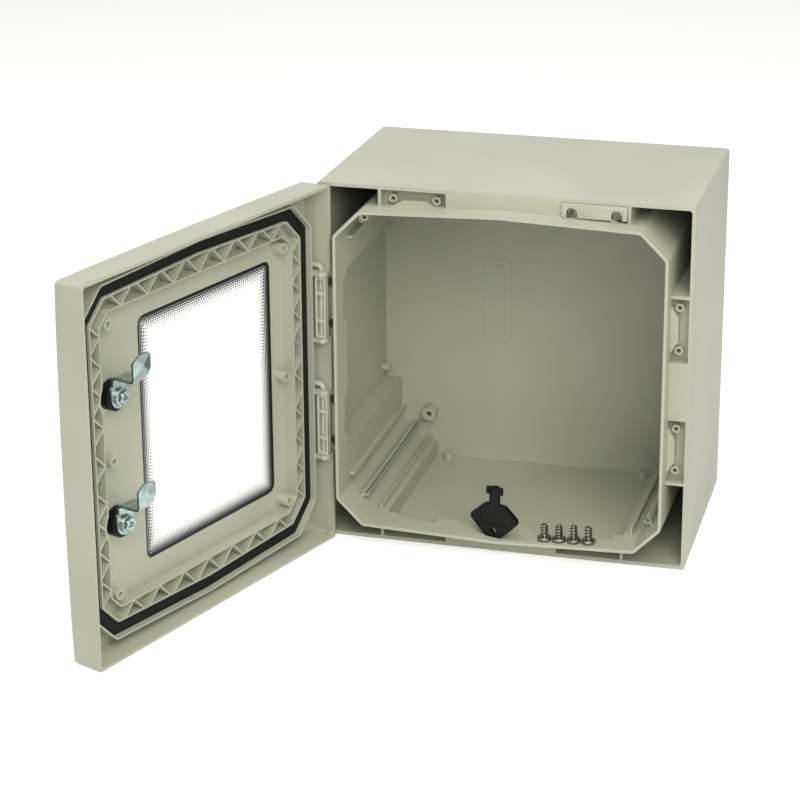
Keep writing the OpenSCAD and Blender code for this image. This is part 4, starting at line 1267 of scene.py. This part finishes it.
@dataclass(frozen=True)
class SoftLamp:
    """A square soft lamp; its place, target and size are in metres and its power in watts."""

    name: str
    place: Triple
    target: Triple
    size: float
    power: float
    colour: str

    def hang(self) -> None:
        """Hangs the lamp and turns it to its target."""
        data = bpy.data.lights.new(self.name, "AREA")
        data.shape, data.size, data.energy = "SQUARE", self.size, self.power
        data.color = srgb(self.colour)[:3]
        lamp = bpy.data.objects.new(self.name, data)
        aim = (Vector(self.target) - Vector(self.place)).to_track_quat("-Z", "Y")
        lamp.matrix_world = Matrix.Translation(self.place) @ aim.to_matrix().to_4x4()
        bpy.context.scene.collection.objects.link(lamp)


@dataclass
class Studio:
    """The camera, lamps, floor and white surroundings.

    The eye is in millimetres, the angles are in degrees, and the floor reaches that many metres each way.
    """

    eye: Triple = (453.5, -2132.5, 743.1)
    azimuth: float = 16.229
    elevation: float = 20.778
    roll: float = -0.6745
    lens: float = 121.63
    shift: tuple[float, float] = (0.0468, -0.0031)
    sky: float = 0.34
    paper: str = "#f4f4f2"
    paper_glow: float = 0.45
    floor_reach: float = 9.0
    lamps: tuple[SoftLamp, ...] = (
        SoftLamp("lamp_above", (-0.2, -0.6, 2.2), (0.0, -0.1, 0.0), 1.8, 27.0, "#fffdf8"),
        SoftLamp("lamp_front", (0.95, -2.2, 1.55), (-0.05, -0.12, 0.0), 1.5, 45.5, "#fffdf6"),
    )

    def camera(self) -> None:
        """Places the camera by its direction, height angle and roll."""
        az, el, roll = (math.radians(v) for v in (self.azimuth, self.elevation, self.roll))
        back = Vector((math.sin(az) * math.cos(el), -math.cos(az) * math.cos(el), math.sin(el)))
        right = (-back).cross(Vector((0, 0, 1))).normalized()
        up = right.cross(-back)
        x = right * math.cos(roll) + up * math.sin(roll)
        y = up * math.cos(roll) - right * math.sin(roll)
        data = bpy.data.cameras.new("camera")
        data.lens, data.sensor_width = self.lens, 36.0
        data.clip_start, data.clip_end = 0.05, 60.0
        data.shift_x, data.shift_y = self.shift
        view = bpy.data.objects.new("camera", data)
        place = Matrix.Translation(Vector(self.eye) * MM)
        view.matrix_world = place @ Matrix((x, y, back)).transposed().to_4x4()
        bpy.context.scene.collection.objects.link(view)
        bpy.context.scene.camera = view

    def shown(self, tree: bpy.types.NodeTree) -> bpy.types.NodeSocket:
        """Gives 1 for what is seen straight, in a gloss or through glass, and 0 for light on the object."""
        path = add(tree, "LightPath").outputs
        first = add(tree, "Math", {0: path["Is Camera Ray"], 1: path["Is Glossy Ray"]}, operation="ADD")
        both = {0: first.outputs[0], 1: path["Is Transmission Ray"]}
        return add(tree, "Math", both, operation="ADD", use_clamp=True).outputs[0]

    def surroundings(self) -> None:
        """Makes the world: plain white where it is seen, and dimmer as a light."""
        world = bpy.data.worlds.new("studio")
        world.use_nodes = True
        bpy.context.scene.world = world
        tree = world.node_tree
        tree.nodes.clear()
        strength = add(tree, "MapRange", {"Value": self.shown(tree), "To Min": self.sky, "To Max": 1.0})
        sky = add(tree, "Background", {"Color": srgb("#ffffff"), "Strength": strength.outputs[0]})
        add(tree, "OutputWorld", {"Surface": sky.outputs[0]})

    def floor(self, height: float) -> None:
        """Lays pale paper at a height in metres; a glow that only the camera sees lifts it to white."""
        line = np.linspace(-self.floor_reach, self.floor_reach, 7)
        x, y = np.meshgrid(line, line, indexing="ij")
        grid = np.stack([x, y, np.full(x.shape, height)], -1)
        floor = surface("floor", grid, False, False)
        mat = bare_material("floor_paper")
        tree = mat.node_tree
        paper = add(tree, "BsdfDiffuse", {"Color": srgb(self.paper)})
        glow = add(tree, "Math", {0: self.shown(tree), 1: self.paper_glow}, operation="MULTIPLY")
        lit = add(tree, "Emission", {"Color": srgb("#ffffff"), "Strength": glow.outputs[0]})
        both = add(tree, "AddShader", {0: paper.outputs[0], 1: lit.outputs[0]})
        add(tree, "OutputMaterial", {"Surface": both.outputs[0]})
        floor.data.materials.append(mat)
        floor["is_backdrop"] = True

    def build(self, floor_height: float) -> None:
        """Sets up the whole studio on a floor at the given height in metres."""
        self.camera()
        self.surroundings()
        self.floor(floor_height)
        for lamp in self.lamps:
            lamp.hang()
        bpy.context.scene.view_settings.view_transform = "Standard"


def dress_packed(frame: dict[str, Any], finishes: Finishes) -> None:
    """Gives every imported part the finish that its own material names."""
    for node in frame["nodes"].values():
        named = node.data.materials[0].name.split(".")[0]
        node.data.materials.clear()
        node.data.materials.append(finishes.made[Slot(named)])
    LOG.info("%d packed parts dressed", len(frame["nodes"]))


def box_now() -> list[list[float]]:
    """Gives the whole object's lowest and highest corner as plain numbers, in metres."""
    return [[float(v) for v in corner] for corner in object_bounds()]


def main() -> dict[str, list[list[float]]]:
    """Loads the frame, builds and dresses every piece, and gives the object's box before and after."""
    logging.basicConfig(level=logging.INFO, format="%(name)s: %(message)s")
    for left in list(bpy.data.objects):
        bpy.data.objects.remove(left)
    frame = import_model()
    sizes = {"frame": box_now()}
    hinge = Hinge(frame)
    finishes = Finishes.make()
    dress_packed(frame, finishes)
    DoorSeal().build(frame, hinge, finishes)
    LOG.info("door seal built")
    Window().build(frame, hinge, finishes)
    LOG.info("window print built")
    PlateScrews().build(frame, finishes)
    LOG.info("plate screws built")
    SmallScrews(PanScrew()).build(frame, finishes)
    LOG.info("small screws built")
    CamLock().build(frame, hinge, finishes)
    LOG.info("cams and bolts built")
    Relief().build(finishes)
    LOG.info("back wall marks built")
    RoundedParts({
        "hinge_block_upper": (0.35, "housing", Slot.SMALL),
        "hinge_block_lower": (0.35, "housing", Slot.SMALL),
        "pocket_insert": (0.4, "housing", Slot.SMALL),
        "key": (0.5, "loose_key", Slot.BLACK),
    }).build(frame, finishes)
    LOG.info("small mouldings rounded")
    # the floor lies a hair below the object, so that the two don't share a plane
    Studio().build(sizes["frame"][0][2] - 0.2 * MM)
    sizes["scene"] = box_now()
    return sizes


if __name__ == "__main__":
    box_sizes = main()
